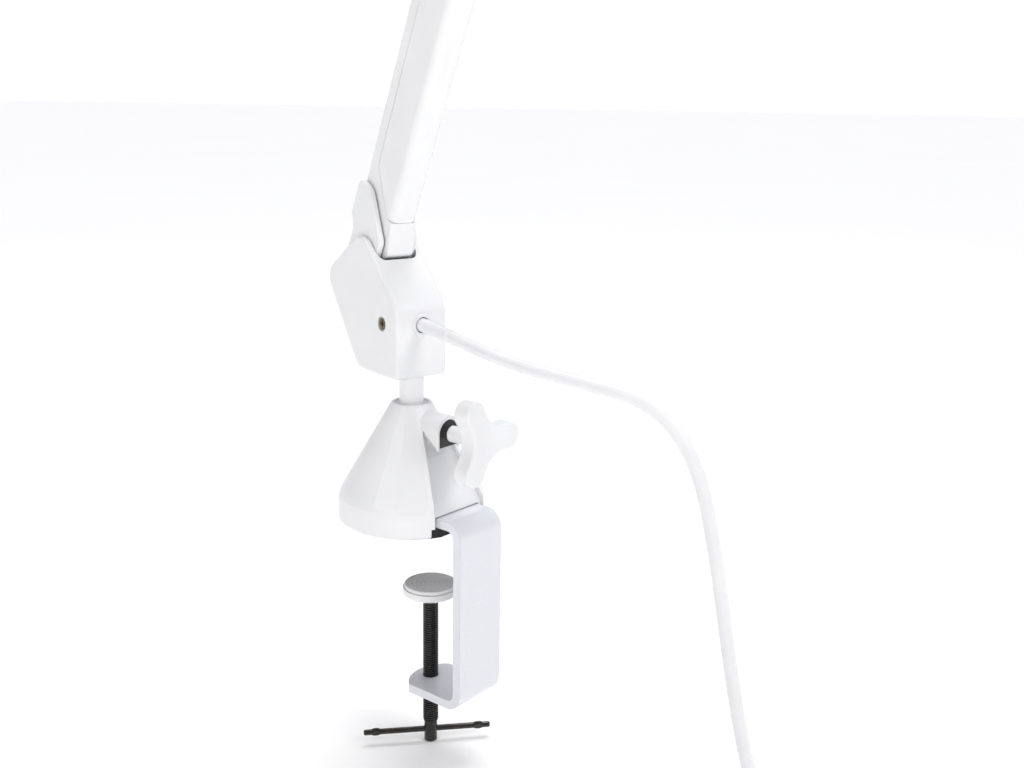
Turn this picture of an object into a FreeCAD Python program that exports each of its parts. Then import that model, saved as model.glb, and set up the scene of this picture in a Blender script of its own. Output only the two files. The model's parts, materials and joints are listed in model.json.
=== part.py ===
import FreeCAD, Part
import math
import os

from FreeCAD import Vector

os.makedirs("parts", exist_ok=True)

# Swing arm desk lamp on a screw clamp. Millimetres, +Z up, origin at the centre of the base's
# underside on the post's axis. +Y points to the back edge of the desk, where the clamp strap hangs.
# Everything above the base is drawn with its arms in the YZ plane and then turned about Z.

# ---- driving dimensions -------------------------------------------------------------------------
REST_SWIVEL = -13.2          # the upper works are turned this far about the post, degrees

BASE_R = 36.5                # rim radius
RIM_H = 14.0                 # height of the upright rim
CONE_TOP_R = 10.0
CONE_TOP_Z = 60.0
SHELL_WALL = 3.0
CORE_Z = 38.0                # the shell is solid above this height
PAD_T = 2.0                  # rubber under the base
PLATE_TOP = 5.6              # top of the steel base plate
CHORD_Y = 30.4               # back of the base, where the strap leaves

POST_R = 6.0
POST_FOOT = 12.0
POST_HEAD = 95.0
SLIDE_FIT = 0.05             # radial clearance of a running fit

STRAP_W = 30.0
STRAP_T = 4.4
STRAP_TOP = 10.0             # top face of the strap's upper arm
STRAP_BACK_Y = 46.0          # outer face of the strap's back
JAW_TOP = -82.4
STRAP_BEND_R = 8.5           # outer bend radius

SCREW_Y = 12.85              # clamp screw's axis
SCREW_R = 4.0                # M8
SCREW_TIP_Z = -34.8
THREAD_END_Z = -107.5
SHANK_R = 3.4
SCREW_FOOT_Z = -119.3
TBAR_Z = -113.0
TBAR_R = 1.5
TBAR_LENGTH = 66.0
TBAR_ANGLE = 138.9           # direction of the bar at rest, degrees from +X
TBAR_SHIFT = -1.8            # the bar sits off its middle by this much

LOCK_Z = 48.5                # lock knob's axis, along Y
BOSS_FACE_Y = 25.0
BOSS_HALF_W = 7.5
NUT_R = 6.6                  # black nut block pressed into the boss
NUT_SEAT_Y = 18.0
KNOB_BACK_Y = 41.0
KNOB_T = 9.0
KNOB_TIP_R = 23.0
LOBE_R = 6.5
KNOB_WAIST_R = 9.5
STUD_R = 3.0

HOUSING_HALF_W = 14.3
HOUSING_WALL = 3.0
HOUSING_FRONT_Y = 9.4        # the face that the cord leaves
HOUSING_FOOT_Z = 73.4
SLOT_END_Y = -10.2
CORD_Z = 99.6
SIDE_SCREW = (-4.1, 99.4)    # side screws, (Y, Z)

ARM_LEAN = 26.3              # lower arm from the upright, towards +Y, degrees
ARM_HALF_W = 7.3
ARM_HALF_D = 14.8
ARM_INNER_HALF_W = 5.35
ARM_WALL = 1.6
LOWER_LENGTH = 380.0         # pivot to pivot
UPPER_LENGTH = 360.0
UPPER_RISE = 8.0             # upper arm above the level at rest, degrees
LOWER_PIVOT = Vector(0, -35.4, 120.1)
ELBOW_STEP = Vector(0, -16.0, 30.0)     # from the lower arm's elbow pivot to the upper arm's
LINK_OFFSET = 9.0            # link pivots stand this far from the arm pivots
LINK_ANGLE = 10.2            # direction of that offset from +Y, degrees
UPPER_LINK_ANGLE = 84.5      # the same for the upper arm
PIVOT_R = 3.0
LINK_PIN_R = 1.8
EAR_IN = 3.3                 # yoke ears lie between these distances from the middle plane
EAR_OUT = 5.1
CHEEK_IN = 8.2
CHEEK_OUT = 10.9
EAR_R = 13.0

HEAD_LENGTH = 230.0
HEAD_HALF_W = 32.0
HEAD_T = 13.0
NECK_DROP = 34.0             # wrist pivot down to the head's tilt pin
NECK_REACH = 34.0            # wrist pivot forward to the neck's axis

CORD_R = 3.0
FLOOR_Z = SCREW_FOOT_Z       # the loose cord lies level with the clamp screw's foot
CORD_LENGTH = 1800.0
COIL_R = 33.0                # middle of the coil's turns
X_AXIS = Vector(1, 0, 0)
Y_AXIS = Vector(0, 1, 0)
Z_AXIS = Vector(0, 0, 1)


# ---- helpers ------------------------------------------------------------------------------------
def cyl(start, direction, radius, length):
    return Part.makeCylinder(radius, length, start, direction)


def bar_across(point, radius, half_length):
    """A round bar along X, centred on the middle plane."""
    return cyl(Vector(-half_length, point.y, point.z), X_AXIS, radius, 2 * half_length)


def cone(start, direction, radius_a, radius_b, length):
    return Part.makeCone(radius_a, radius_b, length, start, direction)


def box(x, y, z):
    return Part.makeBox(x[1] - x[0], y[1] - y[0], z[1] - z[0], Vector(x[0], y[0], z[0]))


def joined(shapes):
    shapes = list(shapes)
    return shapes[0].fuse(shapes[1:]).removeSplitter() if len(shapes) > 1 else shapes[0]


def polar(radius, degrees):
    return radius * math.cos(math.radians(degrees)), radius * math.sin(math.radians(degrees))


def rounded_edges(points, radii, closed=True):
    """Straight runs joined by tangent arcs; radii has one value for each point, 0 for a sharp one."""
    count = len(points)
    corners = []
    for i, point in enumerate(points):
        is_end = not closed and i in (0, count - 1)
        if is_end or not radii[i]:
            corners.append((point, None, point))
            continue
        back = (points[i - 1] - point).normalize()
        ahead = (points[(i + 1) % count] - point).normalize()
        half = back.getAngle(ahead) / 2
        reach = radii[i] / math.tan(half)
        middle = (back + ahead).normalize()
        top = point + middle * (radii[i] / math.sin(half) - radii[i])
        corners.append((point + back * reach, top, point + ahead * reach))
    edges = []
    for i in range(count if closed else count - 1):
        leaving = corners[i][2]
        arriving = corners[(i + 1) % count][0]
        if corners[i][1] is not None:
            edges.append(Part.Arc(*corners[i]).toShape())
        if leaving.distanceToPoint(arriving) > 1e-6:
            edges.append(Part.LineSegment(leaving, arriving).toShape())
    return edges


def plate(points, radii, x_from, x_to):
    """A flat piece with a rounded outline in the YZ plane, between two X values."""
    if not isinstance(radii, (list, tuple)):
        radii = [radii] * len(points)
    outline = [Vector(x_from, y, z) for y, z in points]
    wire = Part.Wire(rounded_edges(outline, radii))
    return Part.Face(wire).extrude(Vector(x_to - x_from, 0, 0))


def both_sides(make):
    """Two solids, one each side of the middle plane, from make(side) with side 1 and -1."""
    return Part.makeCompound([make(1), make(-1)])


def side_plate(points, radii, inner, outer, side):
    return plate(points, radii, side * inner, side * outer)


def stadium(a, b, radius, x_from, x_to):
    """A plate with round ends about two points of the YZ plane."""
    along = (b - a).normalize()
    across = Vector(0, -along.z, along.y) * radius
    tip_a = a - along * radius
    tip_b = b + along * radius
    outline = [
        Part.LineSegment(a + across, b + across).toShape(),
        Part.Arc(b + across, tip_b, b - across).toShape(),
        Part.LineSegment(b - across, a - across).toShape(),
        Part.Arc(a - across, tip_a, a + across).toShape(),
    ]
    face = Part.Face(Part.Wire(outline))
    face.translate(Vector(x_from, 0, 0))
    return face.extrude(Vector(x_to - x_from, 0, 0))


def softened(solid, radius, chosen):
    """Fillets the edges that chosen(edge) picks."""
    return solid.makeFillet(radius, [edge for edge in solid.Edges if chosen(edge)])


def in_plane(edge, axis, value):
    box_of = edge.BoundBox
    low, high = getattr(box_of, axis + "Min"), getattr(box_of, axis + "Max")
    return abs(low - value) < 1e-4 and abs(high - value) < 1e-4


def turned(shape):
    """Turns a piece of the upper works to the rest position of the swivel."""
    shape = shape.copy()
    shape.rotate(Vector(0, 0, 0), Z_AXIS, REST_SWIVEL)
    return shape


def save(node, shape, upper=False):
    shape = turned(shape) if upper else shape
    solids = shape.Solids
    for solid in solids:
        if not solid.isValid():
            print("NOT VALID:", node)
    if not solids:
        print("EMPTY:", node)
    shape = solids[0] if len(solids) == 1 else Part.makeCompound(solids)
    shape.exportStep("parts/" + node + ".step")
    volume = sum(solid.Volume for solid in solids) / 1000
    print("%-18s %2d solid(s) %8.2f cm3" % (node, len(solids), volume))


# ---- base and its inside ------------------------------------------------------------------------
def cone_r(z):
    """Outer radius of the base at a height."""
    if z <= RIM_H:
        return BASE_R
    return BASE_R + (CONE_TOP_R - BASE_R) * (z - RIM_H) / (CONE_TOP_Z - RIM_H)


def revolved(profile):
    """Turns a closed profile of (radius, z) points about Z."""
    points = [Vector(r, 0, z) for r, z in profile]
    wire = Part.makePolygon(points + points[:1])
    return Part.Face(wire).revolve(Vector(0, 0, 0), Z_AXIS, 360)


def facet_cutter(angle_from, angle_to):
    """What lies outside the flat panel that spans two directions of the cone, above the rim."""
    foot = RIM_H - 0.5
    reach = 60.0
    middle = math.radians((angle_from + angle_to) / 2)
    outward = Vector(math.cos(middle), math.sin(middle), 0)
    squeeze = math.cos(math.radians(angle_to - angle_from) / 2)
    low = outward * (cone_r(foot) * squeeze) + Z_AXIS * foot
    high_z = CONE_TOP_Z + 5
    high = outward * (cone_r(high_z) * squeeze) + Z_AXIS * high_z
    sideways = Z_AXIS.cross(outward)
    spread = math.tan(math.radians(angle_to - angle_from) / 2) * squeeze
    width_low = cone_r(foot) * spread + 1
    width_high = cone_r(high_z) * spread + 1
    near = Part.makePolygon([
        low - sideways * width_low, low + sideways * width_low,
        high + sideways * width_high, high - sideways * width_high,
        low - sideways * width_low])
    return Part.Face(near).extrude(outward * reach)


def recess_cutter():
    """The sloping recess in the back of the base, with the strap at its foot."""
    foot_half, head_half = 17.3, BOSS_HALF_W
    sides = [(-foot_half, -1), (foot_half, -1), (foot_half, RIM_H),
             (head_half, LOCK_Z), (-head_half, LOCK_Z), (-foot_half, RIM_H)]
    wire = Part.makePolygon([Vector(x, 0, z) for x, z in sides + sides[:1]])
    prism = Part.Face(wire).extrude(Vector(0, 80, 0))
    return prism.common(beyond_ramp(0.0))


def beyond_ramp(inset):
    """The space behind the recess floor, moved towards the post by inset."""
    profile = [(CHORD_Y - inset, -5), (CHORD_Y - inset, STRAP_TOP + 1),
               (12.0 - inset, LOCK_Z + 1), (12.0 - inset, 80), (90, 80), (90, -5)]
    return plate(profile, 0, -60, 60)


def under_boss(drop):
    """The space under the lug's slanting lower edge, moved down by drop."""
    outline = [(4, 30), (4, 52.5), (15.7, 48.6), (24.0, 41.0), (40, 30)]
    return plate([(y, z - drop) for y, z in outline], 0, -20, 20)


def nut_seat(radius, y_from, y_to):
    """The round-topped pocket in the lug's face, open underneath."""
    round_top = cyl(Vector(0, y_from, LOCK_Z), Y_AXIS, radius, y_to - y_from)
    return round_top.fuse(box((-radius, radius), (y_from, y_to), (LOCK_Z - 12, LOCK_Z)))


def lock_boss():
    """The lug that the lock knob screws into, arched on top and cut away underneath."""
    arch_z = LOCK_Z + 1.0
    arch = cyl(Vector(0, 4, arch_z), Y_AXIS, BOSS_HALF_W, BOSS_FACE_Y - 4)
    block = box((-BOSS_HALF_W, BOSS_HALF_W), (4, BOSS_FACE_Y), (LOCK_Z - 9, arch_z))
    neck = cyl(Vector(0, 4, LOCK_Z), Y_AXIS, 6.9, NUT_SEAT_Y - 4)
    lug = arch.fuse(block).cut(under_boss(0.0))
    return lug.fuse(neck)


def base_shell():
    outer = revolved([(0, 0.6), (BASE_R - 1.4, 0.6), (BASE_R, 2.0), (BASE_R, RIM_H - 3.4),
                      (BASE_R - 0.35, RIM_H - 0.5), (BASE_R - 1.6, RIM_H + 2.6),
                      (CONE_TOP_R + 0.5, CONE_TOP_Z - 1), (CONE_TOP_R - 0.3, CONE_TOP_Z),
                      (0, CONE_TOP_Z)])
    for side in (1, -1):
        for first, last in ((15.0, 31.0), (31.0, 56.0)):
            span = (first, last) if side == 1 else (180 - last, 180 - first)
            outer = outer.cut(facet_cutter(*span))
    outer = outer.cut(recess_cutter()).fuse(lock_boss())
    inner_r = BASE_R - SHELL_WALL
    hollow = revolved([(0, -1), (inner_r, -1), (inner_r, RIM_H - 1),
                       (cone_r(CORE_Z) - SHELL_WALL, CORE_Z), (0, CORE_Z)])
    outer = outer.cut(hollow.cut(beyond_ramp(SHELL_WALL)))
    bush_bore = cyl(Vector(0, 0, CORE_Z - 1), Z_AXIS, 8.4, 30)
    nut_bore = nut_seat(NUT_R + 0.05, NUT_SEAT_Y, 60)
    tip_bore = cyl(Vector(0, 5, LOCK_Z), Y_AXIS, 3.6, 20)
    strap_slot = box((-STRAP_W / 2 - 0.5, STRAP_W / 2 + 0.5), (20, 60), (-1, STRAP_TOP + 0.5))
    below_strap = box((-18.9, 18.9), (26, 60), (-1, PLATE_TOP))
    for cutter in (bush_bore, nut_bore, tip_bore, strap_slot, below_strap):
        outer = outer.cut(cutter)
    posts = []
    for angle in BASE_SCREW_ANGLES:
        x, y = polar(BASE_SCREW_RING, angle)
        pillar = cyl(Vector(x, y, PLATE_TOP), Z_AXIS, 4.0, 16)
        hole = cyl(Vector(x, y, PLATE_TOP - 1), Z_AXIS, 1.5, 11)
        posts.append((pillar, hole))
    for pillar, hole in posts:
        outer = outer.fuse(pillar).cut(hole)
    return outer


BASE_SCREW_RING = 27.5
BASE_SCREW_ANGLES = (180, 240, 300, 0)
STRAP_SCREWS = ((10, -7), (-10, -7), (10, 14), (-10, 14))


def base_disc(radius, low, high):
    disc = cyl(Vector(0, 0, low), Z_AXIS, radius, high - low)
    return disc.cut(box((-50, 50), (CHORD_Y + 0.6, 60), (low - 1, high + 1)))


def base_plate():
    disc = base_disc(BASE_R - SHELL_WALL - 0.3, PAD_T, PLATE_TOP)
    for angle in BASE_SCREW_ANGLES:
        x, y = polar(BASE_SCREW_RING, angle)
        disc = disc.cut(cyl(Vector(x, y, 0), Z_AXIS, 1.6, 10))
        disc = disc.cut(cyl(Vector(x, y, 0), Z_AXIS, 3.1, PAD_T + 1.4))
    for x, y in STRAP_SCREWS:
        disc = disc.cut(cyl(Vector(x, y, 0), Z_AXIS, 2.6, 10))
        disc = disc.cut(cone(Vector(x, y, PAD_T), Z_AXIS, 4.9, 2.6, 2.3))
    return disc


def screw_group(places, z, head_r, head_h, shank_r, length, countersunk=False):
    """Screws that point up, with their heads at z, in one group."""
    screws = []
    for x, y in places:
        if countersunk:
            head = cone(Vector(x, y, z), Z_AXIS, head_r, shank_r, head_h)
        else:
            head = cyl(Vector(x, y, z), Z_AXIS, head_r, head_h)
        drive = cyl(Vector(x, y, z - 0.1), Z_AXIS, head_r * 0.35, head_h * 0.6)
        shank = cyl(Vector(x, y, z + head_h), Z_AXIS, shank_r, length)
        screws.append(joined([head, shank]).cut(drive))
    return Part.makeCompound(screws)


def post_bush():
    sleeve = cyl(Vector(0, 0, CORE_Z - 1), Z_AXIS, 8.35, CONE_TOP_Z - 0.9 - CORE_Z + 1)
    flange = cyl(Vector(0, 0, CORE_Z - 3), Z_AXIS, 10.4, 2)
    bush = sleeve.fuse(flange).cut(cyl(Vector(0, 0, 0), Z_AXIS, POST_R + SLIDE_FIT, 100))
    return bush.cut(cyl(Vector(0, 0, LOCK_Z), Y_AXIS, 3.6, 30))


def foot_washer():
    ring = cyl(Vector(0, 0, STRAP_TOP), Z_AXIS, 11, POST_FOOT - STRAP_TOP)
    return ring.cut(cyl(Vector(0, 0, 0), Z_AXIS, 2.6, 30))


def clamp_bracket():
    back = STRAP_BACK_Y
    jaw_foot = JAW_TOP - STRAP_T
    outline = [(-15, STRAP_TOP), (back, STRAP_TOP), (back, jaw_foot), (0, jaw_foot),
               (0, JAW_TOP), (back - STRAP_T, JAW_TOP), (back - STRAP_T, STRAP_TOP - STRAP_T),
               (-15, STRAP_TOP - STRAP_T)]
    inner = STRAP_BEND_R - STRAP_T
    radii = [0, STRAP_BEND_R, STRAP_BEND_R, 0, 0, inner, inner, 0]
    strap = plate(outline, radii, -STRAP_W / 2, STRAP_W / 2)
    jaw_end_r = 18.75
    nose = cyl(Vector(0, 4.5 + jaw_end_r, jaw_foot - 1), Z_AXIS, jaw_end_r, STRAP_T + 2)
    nose = nose.fuse(box((-30, 30), (12.0, 60), (jaw_foot - 1, JAW_TOP + 1)))
    trim = box((-40, 40), (-20, 60), (jaw_foot - 1, JAW_TOP + 1)).cut(nose)
    strap = strap.cut(trim)
    strap = strap.cut(cyl(Vector(0, SCREW_Y, jaw_foot - 1), Z_AXIS, SCREW_R, STRAP_T + 2))
    for x, y in STRAP_SCREWS:
        strap = strap.cut(cyl(Vector(x, y, 0), Z_AXIS, 2.5, 20))
    return strap


# ---- clamp screw --------------------------------------------------------------------------------
def bar_direction():
    x, y = polar(1, TBAR_ANGLE)
    return Vector(x, y, 0)


def clamp_screw():
    thread_r = SCREW_R - SLIDE_FIT
    top = cyl(Vector(0, SCREW_Y, THREAD_END_Z), Z_AXIS, thread_r, SCREW_TIP_Z - 1 - THREAD_END_Z)
    tip = cone(Vector(0, SCREW_Y, SCREW_TIP_Z - 1), Z_AXIS, thread_r, thread_r - 1, 1)
    shank = cyl(Vector(0, SCREW_Y, SCREW_FOOT_Z), Z_AXIS, SHANK_R, THREAD_END_Z - SCREW_FOOT_Z)
    screw = joined([top, tip, shank])
    reach = bar_direction() * (SHANK_R + 3)
    hole = cyl(Vector(0, SCREW_Y, TBAR_Z) - reach, bar_direction(), TBAR_R + SLIDE_FIT,
               2 * reach.Length)
    return screw.cut(hole)


def t_bar():
    """A plain bar whose ends are swaged flat, so it slides in the screw but can't fall out."""
    along = bar_direction()
    middle = Vector(0, SCREW_Y, TBAR_Z) + along * TBAR_SHIFT
    start = middle - along * (TBAR_LENGTH / 2)
    bar = cyl(start, along, TBAR_R, TBAR_LENGTH)
    sideways = Z_AXIS.cross(along)
    for sign in (1, -1):
        centre = middle + along * (sign * (TBAR_LENGTH / 2 - 6.5))
        wing = Part.makeBox(4.0, 2.4, 4.2)
        wing.translate(Vector(-2.0, -1.2, -2.1))
        wing.rotate(Vector(0, 0, 0), Z_AXIS, TBAR_ANGLE)
        wing.translate(centre)
        bar = bar.fuse(wing)
    return bar.removeSplitter()


def pad_cup():
    low = -37.8
    cup = cone(Vector(0, SCREW_Y, low), Z_AXIS, 12.6, 14.0, 1.2)
    cup = cup.fuse(cyl(Vector(0, SCREW_Y, low + 1.2), Z_AXIS, 14.0, 2.8))
    return cup.cut(cyl(Vector(0, SCREW_Y, low - 1), Z_AXIS, SCREW_R + 0.02, 1 + 3.1))


def pad_face():
    disc = cyl(Vector(0, SCREW_Y, -33.8), Z_AXIS, 13.2, 2.0)
    return disc


# ---- lock knob ----------------------------------------------------------------------------------
def knob_outline(y):
    """Three round lobes joined by hollow flanks that touch them, about the lock axis."""
    lobe_at = KNOB_TIP_R - LOBE_R
    # the flank circle touches two neighbouring lobes and leaves the waist radius
    gap_x, gap_z = polar(lobe_at, 60)
    rise = KNOB_WAIST_R - gap_x
    flank_r = (gap_z ** 2 + rise ** 2 - LOBE_R ** 2) / (2 * (LOBE_R - rise))
    flank_at = flank_r + KNOB_WAIST_R
    reach = LOBE_R / (LOBE_R + flank_r)
    edges = []

    def spot(radius, angle):
        x, z = polar(radius, angle)
        return Vector(x, y, LOCK_Z + z)

    for lobe in (60, 180, 300):
        centre = spot(lobe_at, lobe)
        before = centre + (spot(flank_at, lobe - 60) - centre) * reach
        after = centre + (spot(flank_at, lobe + 60) - centre) * reach
        edges.append(Part.Arc(before, spot(KNOB_TIP_R, lobe), after).toShape())
        next_centre = spot(lobe_at, lobe + 120)
        arrive = next_centre + (spot(flank_at, lobe + 60) - next_centre) * reach
        edges.append(Part.Arc(after, spot(KNOB_WAIST_R, lobe + 60), arrive).toShape())
    return Part.Wire(edges)


def lock_knob():
    lobes = Part.Face(knob_outline(KNOB_BACK_Y)).extrude(Vector(0, KNOB_T, 0))
    front = KNOB_BACK_Y + KNOB_T
    lobes = softened(lobes, 1.2, lambda e: in_plane(e, "Y", front) or in_plane(e, "Y", KNOB_BACK_Y))
    stem = cyl(Vector(0, 27.2, LOCK_Z), Y_AXIS, 4.0, KNOB_BACK_Y - 26)
    knob = lobes.fuse(stem)
    return knob.cut(cyl(Vector(0, 20, LOCK_Z), Y_AXIS, STUD_R, 26))


def lock_stud():
    return cyl(Vector(0, 10.6, LOCK_Z), Y_AXIS, STUD_R, 35)


def lock_nut():
    block = nut_seat(NUT_R, NUT_SEAT_Y + 0.1, BOSS_FACE_Y - 0.9).cut(under_boss(-0.6))
    return block.cut(cyl(Vector(0, 10, LOCK_Z), Y_AXIS, STUD_R + SLIDE_FIT, 30))


def lock_tip():
    return cyl(Vector(0, POST_R + 0.3, LOCK_Z), Y_AXIS, 3.5, 4.2)


# ---- swivel housing -----------------------------------------------------------------------------
HOUSING_OUTLINE = [(HOUSING_FRONT_Y, HOUSING_FOOT_Z), (HOUSING_FRONT_Y, 108.4), (-22.9, 142.4),
                   (-58.6, 118.4), (-27.6, HOUSING_FOOT_Z)]
HOUSING_RADII = [3.0, 14.7, 10.0, 8.5, 9.5]
INSIDE_OUTLINE = [(HOUSING_FRONT_Y - 3, HOUSING_FOOT_Z + 3), (HOUSING_FRONT_Y - 3, 107.2),
                  (-22.9, 138.2), (-54.4, 117.1), (-26.0, HOUSING_FOOT_Z + 3)]
INSIDE_RADII = [1.5, 11.7, 7.0, 5.5, 6.5]
SLOT_HALF_W = HOUSING_HALF_W - HOUSING_WALL


def post_block():
    """The die-cast foot inside the housing that grips the post and carries the yoke."""
    block = plate([(4.2, 76.6), (4.2, 104), (-9.5, 104), (-16.5, 97), (-16.5, 76.6)],
                  [1, 1, 1, 1, 1], -SLOT_HALF_W + 0.2, SLOT_HALF_W - 0.2)
    block = block.cut(cyl(Vector(0, 0, 0), Z_AXIS, POST_R, POST_HEAD + 0.1))
    for side in (1, -1):
        start = Vector(side * 20, SIDE_SCREW[0], SIDE_SCREW[1])
        block = block.cut(cyl(start, Vector(-side, 0, 0), 2.0, 14))
    seat = plate(yoke_outline(), yoke_radii(), -EAR_OUT - 0.05, EAR_OUT + 0.05)
    return block.cut(seat.common(box((-20, 20), (-40, 40), (88.0, 160))))


def yoke_outline():
    pivot = LOWER_PIVOT
    return [(pivot.y - 11, pivot.z - 13), (-17, 92), (-12, 88), (2.0, 88), (2.0, 103),
            (-13.5, 107.5), (pivot.y + 15, pivot.z + 3), (pivot.y + 9, pivot.z + 13),
            (pivot.y - 13, pivot.z + 11)]


def yoke_radii():
    return [9, 5, 1, 1, 2, 5, 8, 8, 11]


def swivel_yoke():
    """Two steel ears joined at the foot; they carry the arm, link and spring pins."""
    ears = [plate(yoke_outline(), yoke_radii(), side * EAR_IN, side * EAR_OUT) for side in (1, -1)]
    foot = plate([(-15, 88), (2.0, 88), (2.0, 103), (-4, 103), (-4, 98), (-15, 92)],
                 0, -EAR_IN - 0.5, EAR_IN + 0.5)
    foot = foot.common(plate(yoke_outline(), yoke_radii(), -EAR_OUT, EAR_OUT))
    yoke = joined(ears + [foot])
    yoke = yoke.cut(cyl(Vector(0, 0, 80), Z_AXIS, POST_R + 0.1, POST_HEAD - 80 + 0.1))
    for pin, radius in swivel_pins():
        yoke = yoke.cut(bar_across(pin, radius, 20))
    return yoke


def link_pin(pivot):
    y, z = polar(LINK_OFFSET, LINK_ANGLE)
    return pivot + Vector(0, y, z)


def spring_pin(pivot):
    y, z = polar(LINK_OFFSET, LINK_ANGLE + 180)
    return pivot + Vector(0, y, z)


def swivel_pins():
    return [(LOWER_PIVOT, PIVOT_R), (link_pin(LOWER_PIVOT), LINK_PIN_R),
            (spring_pin(LOWER_PIVOT), LINK_PIN_R)]


def housing_shell():
    half = HOUSING_HALF_W
    shell = plate(HOUSING_OUTLINE, HOUSING_RADII, -half, half)
    shell = softened(shell, 1.6, lambda e: in_plane(e, "X", half) or in_plane(e, "X", -half))
    shell = shell.cut(plate(INSIDE_OUTLINE, INSIDE_RADII, -SLOT_HALF_W, SLOT_HALF_W))
    slot_end_r = 4.0
    plan = [Vector(-SLOT_HALF_W, -80, 104), Vector(SLOT_HALF_W, -80, 104),
            Vector(SLOT_HALF_W, SLOT_END_Y, 104), Vector(-SLOT_HALF_W, SLOT_END_Y, 104)]
    slot_face = Part.Face(Part.Wire(rounded_edges(plan, [0, 0, slot_end_r, slot_end_r])))
    shell = shell.cut(slot_face.extrude(Vector(0, 0, 60)))
    shell = shell.cut(cyl(Vector(0, 0, 60), Z_AXIS, POST_R + 0.3, 20))
    shell = shell.cut(cyl(Vector(0, 0, CORD_Z), Y_AXIS, 4.6, 20))
    for side in (1, -1):
        start = Vector(side * (half + 1), SIDE_SCREW[0], SIDE_SCREW[1])
        inward = Vector(-side, 0, 0)
        shell = shell.cut(cyl(start, inward, 2.0, 6))
        shell = shell.cut(cyl(start, inward, 3.6, 2.4))
    return shell


def side_screws():
    """Cross-recess screws, one in each side of the housing."""
    def one(side):
        face = Vector(side * (HOUSING_HALF_W - 0.5), SIDE_SCREW[0], SIDE_SCREW[1])
        inward = Vector(-side, 0, 0)
        head = cyl(face, inward, 2.9, 0.9)
        shank = cyl(face + inward * 0.9, inward, 1.95, 6.8)
        cross = []
        for wide, tall in ((3.4, 0.8), (0.8, 3.4)):
            cut = Part.makeBox(1.6, wide, tall)
            cut.translate(Vector(-0.8, -wide / 2, -tall / 2) + face)
            cross.append(cut)
        return joined([head, shank]).cut(cross[0]).cut(cross[1])
    return both_sides(one)


def cord_grommet():
    face = HOUSING_FRONT_Y
    body = cyl(Vector(0, face - 3, CORD_Z), Y_AXIS, 4.55, 3)
    flange = cyl(Vector(0, face, CORD_Z), Y_AXIS, 5.5, 0.9)
    flange = softened(flange, 0.5, lambda e: in_plane(e, "Y", face + 0.9))
    return body.fuse(flange).cut(cyl(Vector(0, 0, CORD_Z), Y_AXIS, 3.9, 30))


def pins(places, half_lengths):
    return Part.makeCompound([bar_across(p, r - 0.01, h) for (p, r), h in zip(places, half_lengths)])


# ---- arms: drawn upright with the lower pivot at the origin, Y is the front of the arm ----------
END = 26.0                   # the closed section starts this far from each pivot
CHEEK_END_R = 12.5


def section(half_w, low_y, high_y, front_r, back_r, z_from, z_to):
    corners = [Vector(-half_w, low_y, z_from), Vector(half_w, low_y, z_from),
               Vector(half_w, high_y, z_from), Vector(-half_w, high_y, z_from)]
    radii = [back_r, back_r, front_r, front_r]
    face = Part.Face(Part.Wire(rounded_edges(corners, radii)))
    return face.extrude(Vector(0, 0, z_to - z_from))


def mirrored(outline, length):
    """The same outline at the far pivot, with its order kept turning the same way."""
    return [(y, length - z) for y, z in reversed(outline)]


def clevis_outline():
    return [(-ARM_HALF_D, END), (-10.5, 20), (-11.5, -13), (13.5, -13), (14.0, 17),
            (ARM_HALF_D, 34), (ARM_HALF_D, 46), (-ARM_HALF_D, 46)]


def cheek_outline():
    return [(-ARM_HALF_D, END), (-10.5, 20), (-11.5, -13), (14.0, -13), (14.5, 26.4),
            (-4.6, 45.2), (-ARM_HALF_D, 45.2)]


def cover_space(length, gap):
    """Where the front cover goes: ahead of the seam, between slanted ends."""
    seam = -7.4 + gap
    low = [(seam, 58.0 + gap), (seam, 56.5 + gap), (9.5, 37.5 + gap), (30, 35.0 + gap)]
    high = [(30, length - 35.0 - gap), (9.5, length - 37.5 - gap), (seam, length - 56.5 - gap)]
    return plate(low[1:] + high, [4, 6, 0, 0, 6, 4], -20, 20)


def chin():
    """The rounded front of the lower arm's foot, which fills the slot of the housing."""
    outer = [(11.0, 38), (ARM_HALF_D, 38), (ARM_HALF_D, 35.5), (17.3, 27.5), (18.7, 21.5),
             (15.0, 16.5), (12.6, 18.5), (12.6, 33)]
    radii = [0, 0, 3, 6, 3.4, 1.2, 1.5, 2]
    wall = plate(outer, radii, -ARM_HALF_W, ARM_HALF_W)
    return softened(wall, 1.2, side_edge_of_chin)


def side_edge_of_chin(edge):
    on_side = in_plane(edge, "X", ARM_HALF_W) or in_plane(edge, "X", -ARM_HALF_W)
    return on_side and edge.BoundBox.YMin > 14.0 and edge.BoundBox.ZMax < 36.5


def arm_body(length, with_chin):
    inner_y = ARM_HALF_D - ARM_WALL
    tube = section(ARM_HALF_W, -ARM_HALF_D, ARM_HALF_D, 4.0, 2.0, END, length - END)
    cavity = section(ARM_INNER_HALF_W, -inner_y, inner_y, 2.4, 1.0, END - 1, length - END + 1)
    ends = []
    for outline in (clevis_outline(), mirrored(clevis_outline(), length)):
        radii = [2, 4, 11.5, 11.5, 4, 6, 0, 0] if outline[0][1] < 50 else [0, 0, 6, 4, 11.5, 11.5, 4, 2]
        for side in (1, -1):
            ends.append(side_plate(outline, radii, ARM_INNER_HALF_W, ARM_HALF_W, side))
    # the end walls follow the rounded section where they run into it
    envelope = section(ARM_HALF_W, -ARM_HALF_D, ARM_HALF_D, 4.0, 2.0, -30, length + 30)
    ends = [end.common(envelope) for end in ends]
    body = joined([tube.cut(cavity)] + ends + ([chin()] if with_chin else []))
    for z in (0, length):
        body = body.cut(bar_across(Vector(0, 0, z), PIVOT_R + SLIDE_FIT, 20))
    return body


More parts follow.
